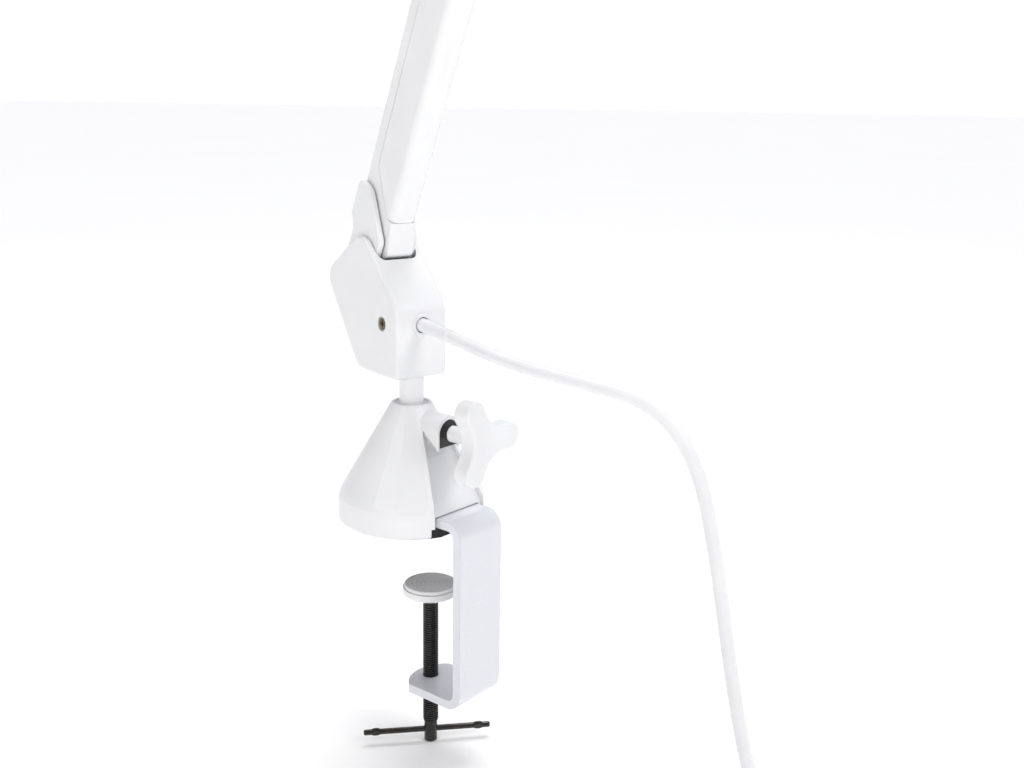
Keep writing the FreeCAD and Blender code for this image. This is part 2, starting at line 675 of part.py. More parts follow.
def arm_channel(length, with_chin):
    return arm_body(length, with_chin).cut(cover_space(length, 0.0))


def arm_cover(length):
    inner_y = ARM_HALF_D - ARM_WALL
    tube = section(ARM_HALF_W, -ARM_HALF_D, ARM_HALF_D, 4.0, 2.0, END, length - END)
    cavity = section(ARM_INNER_HALF_W, -inner_y, inner_y, 2.4, 1.0, END - 1, length - END + 1)
    return tube.cut(cavity).common(cover_space(length, 0.25))


def arm_cheeks(length):
    plates = []
    for outline in (cheek_outline(), mirrored(cheek_outline(), length)):
        radii = [2, 4, 12, 12, 5, 10, 3.5] if outline[0][1] < 50 else [3.5, 10, 5, 12, 12, 4, 2]
        for side in (1, -1):
            cheek = side_plate(outline, radii, CHEEK_IN, CHEEK_OUT, side)
            outer_x = side * CHEEK_OUT
            cheek = softened(cheek, 0.7, lambda e: in_plane(e, "X", outer_x))
            z = 0 if outline[0][1] < 50 else length
            plates.append(cheek.cut(bar_across(Vector(0, 0, z), PIVOT_R + SLIDE_FIT, 20)))
    return Part.makeCompound(plates)


def arm_spacers(length):
    """Washers between the arm's walls and its cheeks, and the screws' spacers above them."""
    rings = []
    for z, sign in ((0, 1), (length, -1)):
        for side in (1, -1):
            for centre, bore in ((0, PIVOT_R + SLIDE_FIT), (32 * sign, 0)):
                start = Vector(side * ARM_HALF_W, 0 if bore else -6.0, z + centre)
                ring = cyl(start, Vector(side, 0, 0), 5.0, CHEEK_IN - ARM_HALF_W)
                if bore:
                    ring = ring.cut(cyl(start, Vector(side, 0, 0), bore, 5))
                rings.append(ring)
    return Part.makeCompound(rings)


def arm_spring(link_angle, z_from, z_to):
    """The balance spring and its hooked rod; the coils are drawn as a plain sleeve. The angle is
    that of the arm's link pins in the arm's own upright frame; the hook sits opposite them."""
    y, hook = polar(LINK_OFFSET, link_angle + 180)
    coils = cyl(Vector(0, y, z_from), Z_AXIS, 4.2, z_to - z_from)
    coils = coils.cut(cyl(Vector(0, y, z_from - 1), Z_AXIS, 3.6, z_to - z_from + 2))
    bars = [bar_across(Vector(0, y, z), 1.0, 3.9) for z in (z_from + 2, z_to - 2)]
    rod = cyl(Vector(0, y, hook + 2.6), Z_AXIS, 0.9, z_from + 2 - hook - 2.6)
    eye = bar_across(Vector(0, y, hook), LINK_PIN_R + 1.4, 1.2)
    stem = cyl(Vector(0, y, z_to - 2), Z_AXIS, 0.9, 7.6)
    spring = joined([coils] + bars + [rod, eye, stem])
    return spring.cut(bar_across(Vector(0, y, hook), LINK_PIN_R + 0.15, 3))


def arm_anchor(link_angle, z):
    """The cross pin inside the arm that holds the spring's far end."""
    y = polar(LINK_OFFSET, link_angle + 180)[0]
    return cyl(Vector(-ARM_INNER_HALF_W, y, z), X_AXIS, 2.0, 2 * ARM_INNER_HALF_W)


def link_rod(first, second):
    """A flat bar with an eye at each end, between two link pins."""
    bar = stadium(first, second, 2.0, -1.2, 1.2)
    eyes = [bar_across(p, 4.0, 2.4) for p in (first, second)]
    rod = joined([bar] + eyes)
    for p in (first, second):
        rod = rod.cut(bar_across(p, LINK_PIN_R + SLIDE_FIT, 5))
    return rod


def placed(shape, pivot, lean):
    """Leans an upright arm towards +Y and sets its lower pivot in place."""
    shape = shape.copy()
    shape.rotate(Vector(0, 0, 0), X_AXIS, -lean)
    shape.translate(pivot)
    return shape


def along(lean, length):
    angle = math.radians(lean)
    return Vector(0, math.sin(angle), math.cos(angle)) * length


UPPER_LEAN = -(90 - UPPER_RISE)
ELBOW_LOW = LOWER_PIVOT + along(ARM_LEAN, LOWER_LENGTH)
ELBOW_HIGH = ELBOW_LOW + ELBOW_STEP
WRIST = ELBOW_HIGH + along(UPPER_LEAN, UPPER_LENGTH)


def save_arm(name, pivot, lean, length, link_angle, with_chin):
    parts = {
        "channel": arm_channel(length, with_chin),
        "cover": arm_cover(length),
        "cheeks": arm_cheeks(length),
        "spacers": arm_spacers(length),
        "spring": arm_spring(link_angle + lean, 60.0, 206.0),
        "spring_anchor": arm_anchor(link_angle + lean, 214.0),
    }
    for part, shape in parts.items():
        save(name + "_" + part, placed(shape, pivot, lean), upper=True)


# ---- elbow --------------------------------------------------------------------------------------
ELBOW_R = 19.0


def elbow_shell():
    half = HOUSING_HALF_W
    shell = stadium(ELBOW_LOW, ELBOW_HIGH, ELBOW_R, -half, half)
    shell = softened(shell, 1.6, lambda e: in_plane(e, "X", half) or in_plane(e, "X", -half))
    wall = HOUSING_WALL
    shell = shell.cut(stadium(ELBOW_LOW, ELBOW_HIGH, ELBOW_R - wall, -SLOT_HALF_W, SLOT_HALF_W))
    return shell.cut(sector_of_swing(ELBOW_LOW, 182, 383)).cut(sector_of_swing(ELBOW_HIGH, 62, 280))


def sector_of_swing(pivot, angle_from, angle_to):
    """The part of the shell's edge that an arm swings through, between two directions."""
    steps = 6
    reach = 60.0
    points = [(pivot.y, pivot.z)]
    for i in range(steps + 1):
        y, z = polar(reach, angle_from + (angle_to - angle_from) * i / steps)
        points.append((pivot.y + y, pivot.z + z))
    return plate(points, 0, -SLOT_HALF_W, SLOT_HALF_W)


def elbow_pins():
    return [(ELBOW_LOW, PIVOT_R), (ELBOW_HIGH, PIVOT_R), (link_pin(ELBOW_LOW), LINK_PIN_R),
            (link_pin_upper(ELBOW_HIGH), LINK_PIN_R), (spring_pin_upper(ELBOW_HIGH), LINK_PIN_R)]


def link_pin_upper(pivot):
    y, z = polar(LINK_OFFSET, UPPER_LINK_ANGLE)
    return pivot + Vector(0, y, z)


def spring_pin_upper(pivot):
    y, z = polar(LINK_OFFSET, UPPER_LINK_ANGLE + 180)
    return pivot + Vector(0, y, z)


def elbow_yoke():
    ears = [stadium(ELBOW_LOW, ELBOW_HIGH, EAR_R, side * EAR_IN, side * EAR_OUT)
            for side in (1, -1)]
    middle = (ELBOW_LOW + ELBOW_HIGH) * 0.5
    web = plate([(middle.y + 2, middle.z - 4), (middle.y + 12, middle.z - 4),
                 (middle.y + 12, middle.z + 8), (middle.y + 2, middle.z + 8)], 1,
                -EAR_IN, EAR_IN)
    web = web.common(stadium(ELBOW_LOW, ELBOW_HIGH, EAR_R, -EAR_IN, EAR_IN))
    yoke = joined(ears + [web])
    for pin, radius in elbow_pins():
        yoke = yoke.cut(bar_across(pin, radius, 20))
    return yoke


def elbow_caps():
    """Round caps on the outside of the elbow, over the ends of the pivots."""
    caps = []
    for pivot in (ELBOW_LOW, ELBOW_HIGH):
        for side in (1, -1):
            start = Vector(side * HOUSING_HALF_W, pivot.y, pivot.z)
            cap = cyl(start, Vector(side, 0, 0), 8.0, 1.4)
            top_x = side * (HOUSING_HALF_W + 1.4)
            caps.append(softened(cap, 0.8, lambda e: in_plane(e, "X", top_x)))
    return Part.makeCompound(caps)


# ---- wrist and neck -----------------------------------------------------------------------------
NECK = Vector(0, WRIST.y - NECK_REACH, WRIST.z)
TILT_PIN = Vector(0, NECK.y, WRIST.z - NECK_DROP)


def wrist_block():
    """The end block: two ears between the walls of the upper arm and a boss for the neck."""
    ears = [bar_piece(side) for side in (1, -1)]
    boss = cyl(Vector(0, NECK.y, WRIST.z - 12), Z_AXIS, 11.0, 24)
    boss = softened(boss, 1.5, lambda e: in_plane(e, "Z", WRIST.z + 12))
    bridge = box((-EAR_OUT, EAR_OUT), (NECK.y, WRIST.y - 15.5), (WRIST.z - 9, WRIST.z + 9))
    block = joined(ears + [boss, bridge])
    for pin, radius in wrist_pins():
        block = block.cut(bar_across(pin, radius, 20))
    return block.cut(cyl(Vector(0, NECK.y, WRIST.z - 20), Z_AXIS, 5.0 + SLIDE_FIT, 40))


def bar_piece(side):
    inner, outer = side * EAR_IN, side * EAR_OUT
    disc = stadium(Vector(0, WRIST.y, WRIST.z), Vector(0, WRIST.y + 0.01, WRIST.z), EAR_R, inner, outer)
    arm = plate([(NECK.y, WRIST.z - 9), (WRIST.y, WRIST.z - 9), (WRIST.y, WRIST.z + 9),
                 (NECK.y, WRIST.z + 9)], 0, inner, outer)
    return disc.fuse(arm)


def wrist_pins():
    return [(WRIST, PIVOT_R), (link_pin_upper(WRIST), LINK_PIN_R)]


def neck_post():
    """The turning stem under the wrist, with a flat tongue for the tilt pin."""
    stem = cyl(Vector(0, NECK.y, WRIST.z - 22), Z_AXIS, 5.0, 34.1)
    collar = cyl(Vector(0, NECK.y, WRIST.z - 16), Z_AXIS, 8.5, 3.6)
    tongue = stadium(TILT_PIN, Vector(0, NECK.y, WRIST.z - 21), 7.5, -3.5, 3.5)
    return joined([stem, collar, tongue]).cut(bar_across(TILT_PIN, PIVOT_R + SLIDE_FIT, 20))


def neck_cap():
    """The cap screwed to the top of the neck post, which keeps it in the wrist."""
    low = WRIST.z + 12.1
    cap = cyl(Vector(0, NECK.y, low), Z_AXIS, 8.0, 2.4)
    return softened(cap, 1.2, lambda e: in_plane(e, "Z", low + 2.4))


# ---- head ---------------------------------------------------------------------------------------
HEAD_TOP_Z = TILT_PIN.z - 10.0
HEAD_BACK_Y = TILT_PIN.y + 26.0


def head_outline(inset, low, high):
    """A slim rounded slab in plan."""
    x = HEAD_HALF_W - inset
    back, front = HEAD_BACK_Y - inset, HEAD_BACK_Y - HEAD_LENGTH + inset
    corners = [Vector(-x, front, low), Vector(x, front, low), Vector(x, back, low),
               Vector(-x, back, low)]
    radius = 16.0 - inset
    face = Part.Face(Part.Wire(rounded_edges(corners, [radius] * 4)))
    return face.extrude(Vector(0, 0, high - low))


def head_shell():
    low = HEAD_TOP_Z - HEAD_T
    shell = head_outline(0, low, HEAD_TOP_Z)
    shell = softened(shell, 3.0, lambda e: in_plane(e, "Z", HEAD_TOP_Z))
    shell = shell.cut(head_outline(2.0, low - 1, HEAD_TOP_Z - 2.2))
    for side in (1, -1):
        ear = plate([(TILT_PIN.y - 9, HEAD_TOP_Z - 1), (TILT_PIN.y - 7, TILT_PIN.z + 7.5),
                     (TILT_PIN.y + 7, TILT_PIN.z + 7.5), (TILT_PIN.y + 9, HEAD_TOP_Z - 1)],
                    [0, 6, 6, 0], side * 4.0, side * 8.0)
        shell = shell.fuse(ear)
    shell = shell.cut(bar_across(TILT_PIN, PIVOT_R, 20))
    for x, y in BOARD_SCREWS:
        shell = shell.fuse(cyl(Vector(x, y, HEAD_TOP_Z - 9.0), Z_AXIS, 2.6, 7.4))
        shell = shell.cut(cyl(Vector(x, y, HEAD_TOP_Z - 9.5), Z_AXIS, 1.0, 6.5))
    return shell.cut(cyl(BUTTON_TOP - Z_AXIS * 10, Z_AXIS, 6.2, 20))


BUTTON_TOP = Vector(0, HEAD_BACK_Y - 75.0, HEAD_TOP_Z + 1.2)
BOARD_SCREWS = [(x, HEAD_BACK_Y - y) for x in (-22, 22) for y in (20, 115, 210)]


def power_button():
    cap = cyl(BUTTON_TOP - Z_AXIS * 3.6, Z_AXIS, 6.0, 3.6)
    cap = softened(cap, 0.6, lambda e: in_plane(e, "Z", BUTTON_TOP.z))
    skirt = cyl(BUTTON_TOP - Z_AXIS * 4.8, Z_AXIS, 7.4, 1.2)
    return cap.fuse(skirt)


def switch_body():
    """The small push switch under the button, on the lamp board."""
    low = HEAD_TOP_Z - 9.0
    return box((-3.5, 3.5), (BUTTON_TOP.y - 3.5, BUTTON_TOP.y + 3.5), (low, BUTTON_TOP.z - 6.6))


def led_board():
    board = head_outline(4.0, HEAD_TOP_Z - 10.4, HEAD_TOP_Z - 9.0)
    for x, y in BOARD_SCREWS:
        board = board.cut(cyl(Vector(x, y, HEAD_TOP_Z - 12), Z_AXIS, 1.1, 6))
    return board


def led_chips():
    """Two rows of light-emitting chips under the board."""
    chips = []
    rows, count, pitch = (-12.0, 12.0), 18, 10.5
    for x in rows:
        for i in range(count):
            y = HEAD_BACK_Y - 22 - i * pitch
            chips.append(box((x - 1.8, x + 1.8), (y - 1.8, y + 1.8),
                             (HEAD_TOP_Z - 11.1, HEAD_TOP_Z - 10.4)))
    return Part.makeCompound(chips)


def diffuser():
    low = HEAD_TOP_Z - HEAD_T
    return head_outline(2.1, low - 0.4, low + 1.4)


# ---- cord: the lead leaves the housing, falls and lies beside the clamp, then is coiled ---------
CORD_EXIT = Vector(0, HOUSING_FRONT_Y + 0.9, CORD_Z)
SLEEVE_END = Vector(0, 33.0, 98.0)
REST_ON = FLOOR_Z + CORD_R
ROUTE = [
    SLEEVE_END,
    Vector(-5, 72, 91.6),
    Vector(-17, 109, 88.4),
    Vector(-31, 137, 84.0),
    Vector(-41, 154, 62),
    Vector(-46, 163, 22),
    Vector(-49, 171, -24),
    Vector(-50, 183, -68),
    Vector(-47, 206, -103),
    Vector(-42, 238, REST_ON),
    Vector(-37, 270, REST_ON),
]
COIL_CENTRE = Vector(-37 + COIL_R, 272, 0)
COIL_WIDTH = 14.0
COIL_HEIGHT = 21.0
PLUG_Z = FLOOR_Z + 6.5


def tube_radii():
    """Bend radius at each inner point of the route, as large as its two runs allow."""
    radii = [0]
    for before, point, after in zip(ROUTE, ROUTE[1:], ROUTE[2:]):
        shorter = min((point - before).Length, (after - point).Length)
        half_turn = (point - before).getAngle(after - point) / 2
        radii.append(0.45 * shorter / math.tan(half_turn))
    return radii + [0]


def cord_tube():
    radii = tube_radii()
    print("cord radii", [round(r) for r in radii[1:-1]])
    path = Part.Wire(rounded_edges(ROUTE, radii, closed=False))
    start_direction = ROUTE[1] - ROUTE[0]
    circle = Part.Wire(Part.Circle(ROUTE[0], start_direction, CORD_R).toShape())
    tube = path.makePipeShell([circle], True, False)
    expected = math.pi * CORD_R ** 2 * path.Length
    print("cord tube length %.0f, volume ratio %.4f" % (path.Length, tube.Volume / expected))
    print("left for the coil %.0f" % (CORD_LENGTH - path.Length - (SLEEVE_END - CORD_EXIT).Length))
    return tube


def cord_sleeve():
    """The tapered strain relief that the lead carries where it leaves the housing."""
    direction = SLEEVE_END - CORD_EXIT
    inside = 3.0
    start = CORD_EXIT - direction.normalize() * inside
    reach = (SLEEVE_END - start).Length
    return cone(start, SLEEVE_END - start, CORD_R + 0.55, CORD_R + 0.1, reach)


def cord_coil():
    outer = COIL_R + COIL_WIDTH / 2
    start = Vector(COIL_CENTRE.x, COIL_CENTRE.y, FLOOR_Z)
    ring = cyl(start, Z_AXIS, outer, COIL_HEIGHT)
    ring = ring.cut(cyl(start, Z_AXIS, outer - COIL_WIDTH, COIL_HEIGHT))
    return softened(ring, 5.0, lambda e: in_plane(e, "Z", FLOOR_Z + COIL_HEIGHT) and e.Length > 1)


def cord_tie():
    """A strap round the coil's turns."""
    reach = COIL_WIDTH / 2 + 1.6
    y = COIL_CENTRE.y + COIL_R
    top = FLOOR_Z + COIL_HEIGHT + 1.2
    outer = box((COIL_CENTRE.x - 4, COIL_CENTRE.x + 4), (y - reach, y + reach), (FLOOR_Z, top))
    inner = box((COIL_CENTRE.x - 5, COIL_CENTRE.x + 5), (y - reach + 1, y + reach - 1),
                (FLOOR_Z - 1, top - 1))
    return outer.cut(inner)


PLUG_X = COIL_CENTRE.x + COIL_R + 4.0
PLUG_START_Y = COIL_CENTRE.y - 30.0


def plug_body():
    """A flat two-pin plug with a tapered neck."""
    back = PLUG_START_Y
    corners = [Vector(PLUG_X - 12.5, back, PLUG_Z - 6.5), Vector(PLUG_X + 12.5, back, PLUG_Z - 6.5),
               Vector(PLUG_X + 12.5, back, PLUG_Z + 6.5), Vector(PLUG_X - 12.5, back, PLUG_Z + 6.5)]
    face = Part.Face(Part.Wire(rounded_edges(corners, [6.4] * 4)))
    body = face.extrude(Vector(0, -34, 0))
    neck = cone(Vector(PLUG_X, back + 20, PLUG_Z), Vector(0, -1, 0), CORD_R + 0.4, 5.2, 20)
    return body.fuse(neck)


def plug_pins():
    pins_made = []
    for side in (1, -1):
        start = Vector(PLUG_X + side * 9.3, PLUG_START_Y - 34, PLUG_Z)
        pins_made.append(cyl(start, Vector(0, -1, 0), 2.0, 19))
    return Part.makeCompound(pins_made)


# ---- write every piece --------------------------------------------------------------------------
save("base_shell", base_shell())
save("base_plate", base_plate())
save("base_pad", base_disc(BASE_R - SHELL_WALL - 0.3, 0, PAD_T))
base_places = [polar(BASE_SCREW_RING, angle) for angle in BASE_SCREW_ANGLES]
save("base_screws", screw_group(base_places, PAD_T, 3.0, 1.3, 1.45, 9))
save("bracket_screws", screw_group(STRAP_SCREWS, PAD_T, 4.8, 2.3, 2.45, 5.7, countersunk=True))
save("clamp_bracket", clamp_bracket())
save("post_bush", post_bush())
save("foot_washer", foot_washer())
save("lock_nut", lock_nut())
save("pad_cup", pad_cup())
save("pad_face", pad_face())
save("clamp_screw", clamp_screw())
save("t_bar", t_bar())
save("lock_tip", lock_tip())
save("lock_stud", lock_stud())
save("lock_knob", lock_knob())

save("post", cyl(Vector(0, 0, POST_FOOT), Z_AXIS, POST_R, POST_HEAD - POST_FOOT), upper=True)
save("post_block", post_block(), upper=True)
save("swivel_yoke", swivel_yoke(), upper=True)
save("swivel_pins", pins(swivel_pins(), (11.0, 5.1, 5.1)), upper=True)
save("housing_shell", housing_shell(), upper=True)
save("side_screws", side_screws(), upper=True)
save("cord_grommet", cord_grommet(), upper=True)

save_arm("lower", LOWER_PIVOT, ARM_LEAN, LOWER_LENGTH, LINK_ANGLE, True)
save_arm("upper", ELBOW_HIGH, UPPER_LEAN, UPPER_LENGTH, UPPER_LINK_ANGLE, False)
save("lower_link", link_rod(link_pin(LOWER_PIVOT), link_pin(ELBOW_LOW)), upper=True)
save("upper_link", link_rod(link_pin_upper(ELBOW_HIGH), link_pin_upper(WRIST)), upper=True)

save("elbow_shell", elbow_shell(), upper=True)
save("elbow_yoke", elbow_yoke(), upper=True)
save("elbow_pins", pins(elbow_pins(), (11.0, 11.0, 5.1, 5.1, 5.1)), upper=True)
save("elbow_caps", elbow_caps(), upper=True)
save("wrist_block", wrist_block(), upper=True)
save("wrist_pins", pins(wrist_pins(), (11.0, 5.1)), upper=True)
save("neck_post", neck_post(), upper=True)
save("neck_cap", neck_cap(), upper=True)
save("head_shell", head_shell(), upper=True)
save("tilt_pin", pins([(TILT_PIN, PIVOT_R)], (8.0,)), upper=True)
save("power_button", power_button(), upper=True)
save("switch_body", switch_body(), upper=True)
save("led_board", led_board(), upper=True)
board_screws = screw_group(BOARD_SCREWS, HEAD_TOP_Z - 11.2, 1.9, 0.8, 0.95, 5.6)
save("board_screws", board_screws, upper=True)
save("led_chips", led_chips(), upper=True)
save("diffuser", diffuser(), upper=True)

save("cord_tube", cord_tube(), upper=True)
save("cord_sleeve", cord_sleeve(), upper=True)
save("cord_coil", cord_coil(), upper=True)
save("cord_tie", cord_tie(), upper=True)
save("plug_body", plug_body(), upper=True)
save("plug_pins", plug_pins(), upper=True)
print("elbow", ELBOW_LOW, ELBOW_HIGH, "wrist", WRIST, "neck", NECK, "tilt", TILT_PIN)
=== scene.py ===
import json
import math

import bmesh
import bpy
from mathutils import Matrix, Vector


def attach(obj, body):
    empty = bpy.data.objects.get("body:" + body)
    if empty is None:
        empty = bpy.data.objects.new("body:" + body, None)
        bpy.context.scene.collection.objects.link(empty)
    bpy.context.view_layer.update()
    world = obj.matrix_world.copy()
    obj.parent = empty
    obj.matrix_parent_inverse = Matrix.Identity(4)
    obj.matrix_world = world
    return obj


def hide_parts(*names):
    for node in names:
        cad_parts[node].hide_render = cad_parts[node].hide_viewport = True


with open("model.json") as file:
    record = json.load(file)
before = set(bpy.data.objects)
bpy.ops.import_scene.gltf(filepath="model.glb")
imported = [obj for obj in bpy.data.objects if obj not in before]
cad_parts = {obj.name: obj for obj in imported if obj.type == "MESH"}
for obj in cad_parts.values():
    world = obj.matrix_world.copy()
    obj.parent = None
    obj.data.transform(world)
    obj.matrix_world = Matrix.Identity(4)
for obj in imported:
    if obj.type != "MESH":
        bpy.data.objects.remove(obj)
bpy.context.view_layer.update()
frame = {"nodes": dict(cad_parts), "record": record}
nodes = frame["nodes"]
mm = 0.001

# the upper works rest turned about the post; side, out and up are millimetres from the post's foot
upperWorks = {"restSwivel": math.radians(-13.2)}


def upperPoint(side, out, up):
    spin = upperWorks["restSwivel"]
    x = side * math.cos(spin) - out * math.sin(spin)
    y = side * math.sin(spin) + out * math.cos(spin)
    return Vector((x, y, up)) * mm


def addObject(name, data):
    made = bpy.data.objects.new(name, data)
    bpy.context.scene.collection.objects.link(made)
    return made


def eased(part):
    # 0 to 1 with a soft start and a soft end
    part = min(1.0, max(0.0, part))
    return part * part * (3 - 2 * part)


def fillRamp(ramp, stops):
    elements = ramp.color_ramp.elements
    while len(elements) < len(stops):
        elements.new(0.5)
    for element, (position, colour) in zip(elements, stops):
        element.position = position
        element.color = (*colour, 1)


# camera

cameraView = {
    "place": (0.41464, 0.40262, 0.20736),
    "right": (-0.63563, 0.77184, 0.01544),
    "up": (-0.17028, -0.15969, 0.97237),
    "forward": (-0.75298, -0.61543, -0.23294),
    "lens": 42.42,
    "sensor": 36.0,
    "clip": (0.01, 30),
}


def addCamera(view):
    data = bpy.data.cameras.new("lampCamera")
    data.lens = view["lens"]
    data.sensor_width = view["sensor"]
    data.clip_start, data.clip_end = view["clip"]
    camera = addObject("lampCamera", data)
    back = -Vector(view["forward"])
    columns = Matrix((view["right"], view["up"], back)).transposed()
    camera.matrix_world = Matrix.Translation(view["place"]) @ columns.to_4x4()
    bpy.context.scene.camera = camera


addCamera(cameraView)
print("camera placed")

# materials


class Shading:
    # a small helper that strings shader nodes together for one material
    def __init__(self, name):
        self.material = bpy.data.materials.new(name)
        self.material.use_nodes = True
        self.tree = self.material.node_tree
        self.shader = self.tree.nodes["Principled BSDF"]
        self.coords = self.add("ShaderNodeTexCoord").outputs["Object"]

    def add(self, kind, **settings):
        node = self.tree.nodes.new(kind)
        for key, value in settings.items():
            setattr(node, key, value)
        return node

    def link(self, source, target):
        self.tree.links.new(source, target)

    def stretched(self, scale):
        mapping = self.add("ShaderNodeMapping")
        mapping.inputs["Scale"].default_value = scale
        self.link(self.coords, mapping.inputs["Vector"])
        return mapping.outputs["Vector"]

    def noise(self, scale, detail=3.0, roughness=0.55, vector=None, distortion=0.0):
        node = self.add("ShaderNodeTexNoise")
        node.inputs["Scale"].default_value = scale
        node.inputs["Detail"].default_value = detail
        node.inputs["Roughness"].default_value = roughness
        node.inputs["Distortion"].default_value = distortion
        self.link(vector or self.coords, node.inputs["Vector"])
        return node.outputs["Fac"]

    def cells(self, scale):
        node = self.add("ShaderNodeTexVoronoi", feature="F1")
        node.inputs["Scale"].default_value = scale
        self.link(self.coords, node.inputs["Vector"])
        return node.outputs["Distance"]

    def waves(self, scale, direction, distortion=0.0):
        node = self.add("ShaderNodeTexWave", bands_direction=direction)
        node.inputs["Scale"].default_value = scale
        node.inputs["Distortion"].default_value = distortion
        self.link(self.coords, node.inputs["Vector"])
        return node.outputs["Fac"]

    def spread(self, source, low, high, fromLow=0.3, fromHigh=0.7):
        node = self.add("ShaderNodeMapRange")
        node.inputs["From Min"].default_value = fromLow
        node.inputs["From Max"].default_value = fromHigh
        node.inputs["To Min"].default_value = low
        node.inputs["To Max"].default_value = high
        self.link(source, node.inputs["Value"])
        return node.outputs["Result"]

    def tones(self, source, stops):
        ramp = self.add("ShaderNodeValToRGB")
        fillRamp(ramp, stops)
        self.link(source, ramp.inputs["Fac"])
        return ramp.outputs["Color"]

    def mixed(self, factor, first, second):
        node = self.add("ShaderNodeMix", data_type="RGBA")
        self.link(factor, node.inputs[0])
        self.link(first, node.inputs[6])
        self.link(second, node.inputs[7])
        return node.outputs[2]

    def maths(self, operation, first, second):
        node = self.add("ShaderNodeMath", operation=operation)
        for socket, value in zip(node.inputs, (first, second)):
            if isinstance(value, (int, float)):
                socket.default_value = value
            else:
                self.link(value, socket)
        return node.outputs[0]

    def relief(self, layers, edge=0.0):
        # bump layers are (height source, strength, depth in mm), laid over softly rounded edges
        normal = None
        if edge:
            bevel = self.add("ShaderNodeBevel", samples=6)
            bevel.inputs["Radius"].default_value = edge * mm
            normal = bevel.outputs["Normal"]
        for height, strength, depth in layers:
            bump = self.add("ShaderNodeBump")
            bump.inputs["Strength"].default_value = strength
            bump.inputs["Distance"].default_value = depth * mm
            self.link(height, bump.inputs["Height"])
            if normal:
                self.link(normal, bump.inputs["Normal"])
            normal = bump.outputs["Normal"]
        self.link(normal, self.shader.inputs["Normal"])

    def set(self, **values):
        names = {"specular": "Specular IOR Level", "coat": "Coat Weight",
                 "coatRoughness": "Coat Roughness", "metallic": "Metallic", "sheen": "Sheen Weight",
                 "subsurface": "Subsurface Weight", "subsurfaceScale": "Subsurface Scale",
                 "transmission": "Transmission Weight"}
        for key, value in values.items():
            self.shader.inputs[names[key]].default_value = value

    def finish(self, colour, roughness):
        self.link(colour, self.shader.inputs["Base Color"])
        self.link(roughness, self.shader.inputs["Roughness"])
        return self.material


def mouldedWhite(name="mouldedWhite"):
    look = Shading(name)
    broad = look.noise(38, 4)
    grain = look.noise(2600, 2)
    pits = look.cells(1500)
    marks = look.noise(420, 6, 0.7, look.stretched((1, 1, 0.2)))
    colour = look.tones(broad, [(0.3, (0.775, 0.785, 0.80)), (0.7, (0.815, 0.82, 0.83))])
    roughness = look.spread(look.maths("ADD", broad, look.maths("MULTIPLY", marks, 0.6)),
                            0.31, 0.43, 0.5, 1.1)
    look.relief([(broad, 0.12, 0.25), (grain, 0.16, 0.03), (pits, 0.08, 0.03)], edge=0.35)
    look.set(coat=0.12, coatRoughness=0.25, specular=0.5, subsurface=0.03, subsurfaceScale=0.002)
    return look.finish(colour, roughness)


def powderWhite():
    look = Shading("powderWhite")
    peel = look.noise(420, 2, 0.4)
    fine = look.noise(1600, 3)
    colour = look.tones(fine, [(0.3, (0.71, 0.73, 0.775)), (0.7, (0.72, 0.74, 0.785))])
    roughness = look.spread(fine, 0.24, 0.28)
    look.relief([(peel, 0.05, 0.06)], edge=0.7)
    look.set(coat=0.6, coatRoughness=0.1)
    return look.finish(colour, roughness)


def darkNickel():
    look = Shading("darkNickel")
    oil = look.noise(160, 5, 0.65)
    scratch = look.noise(1400, 3, 0.6, look.stretched((1, 1, 6)))
    colour = look.tones(oil, [(0.25, (0.018, 0.016, 0.014)), (0.5, (0.030, 0.027, 0.023)),
                              (0.75, (0.05, 0.044, 0.036))])
    roughness = look.spread(look.maths("ADD", oil, scratch), 0.16, 0.3, 0.75, 1.25)
    look.relief([(scratch, 0.12, 0.03), (oil, 0.05, 0.08)], edge=0.15)
    look.set(metallic=1.0, specular=0.9, coat=0.7, coatRoughness=0.1)
    return look.finish(colour, roughness)


def bronzed():
    look = Shading("bronzed")
    bloom = look.noise(300, 5, 0.65)
    turned = look.noise(1800, 3, 0.6)
    colour = look.tones(bloom, [(0.3, (0.10, 0.085, 0.045)), (0.7, (0.22, 0.19, 0.12))])
    look.relief([(turned, 0.2, 0.03)], edge=0.15)
    look.set(metallic=1.0)
    return look.finish(colour, look.spread(bloom, 0.24, 0.42))


def blackPaint():
    look = Shading("blackPaint")
    peel = look.noise(1100, 3, 0.5)
    broad = look.noise(60, 4)
    colour = look.tones(broad, [(0.3, (0.008, 0.008, 0.008)), (0.7, (0.018, 0.018, 0.018))])
    look.relief([(peel, 0.3, 0.05)], edge=0.3)
    return look.finish(colour, look.spread(peel, 0.5, 0.7))


def zincPlate():
    look = Shading("zincPlate")
    bloom = look.noise(90, 5, 0.6)
    brushed = look.noise(500, 3, 0.6, look.stretched((1, 12, 1)))
    colour = look.tones(bloom, [(0.3, (0.44, 0.44, 0.43)), (0.7, (0.6, 0.6, 0.585))])
    roughness = look.spread(look.maths("ADD", bloom, brushed), 0.24, 0.44, 0.8, 1.2)
    look.relief([(brushed, 0.2, 0.03)], edge=0.2)
    look.set(metallic=1.0)
    return look.finish(colour, roughness)


def castAlloy():
    look = Shading("castAlloy")
    skin = look.noise(700, 5, 0.65)
    flow = look.noise(50, 4, 0.6, distortion=1.5)
    colour = look.tones(flow, [(0.3, (0.42, 0.42, 0.42)), (0.7, (0.56, 0.56, 0.56))])
    roughness = look.spread(skin, 0.42, 0.62)
    look.relief([(skin, 0.4, 0.08)], edge=0.3)
    look.set(metallic=1.0)
    return look.finish(colour, roughness)


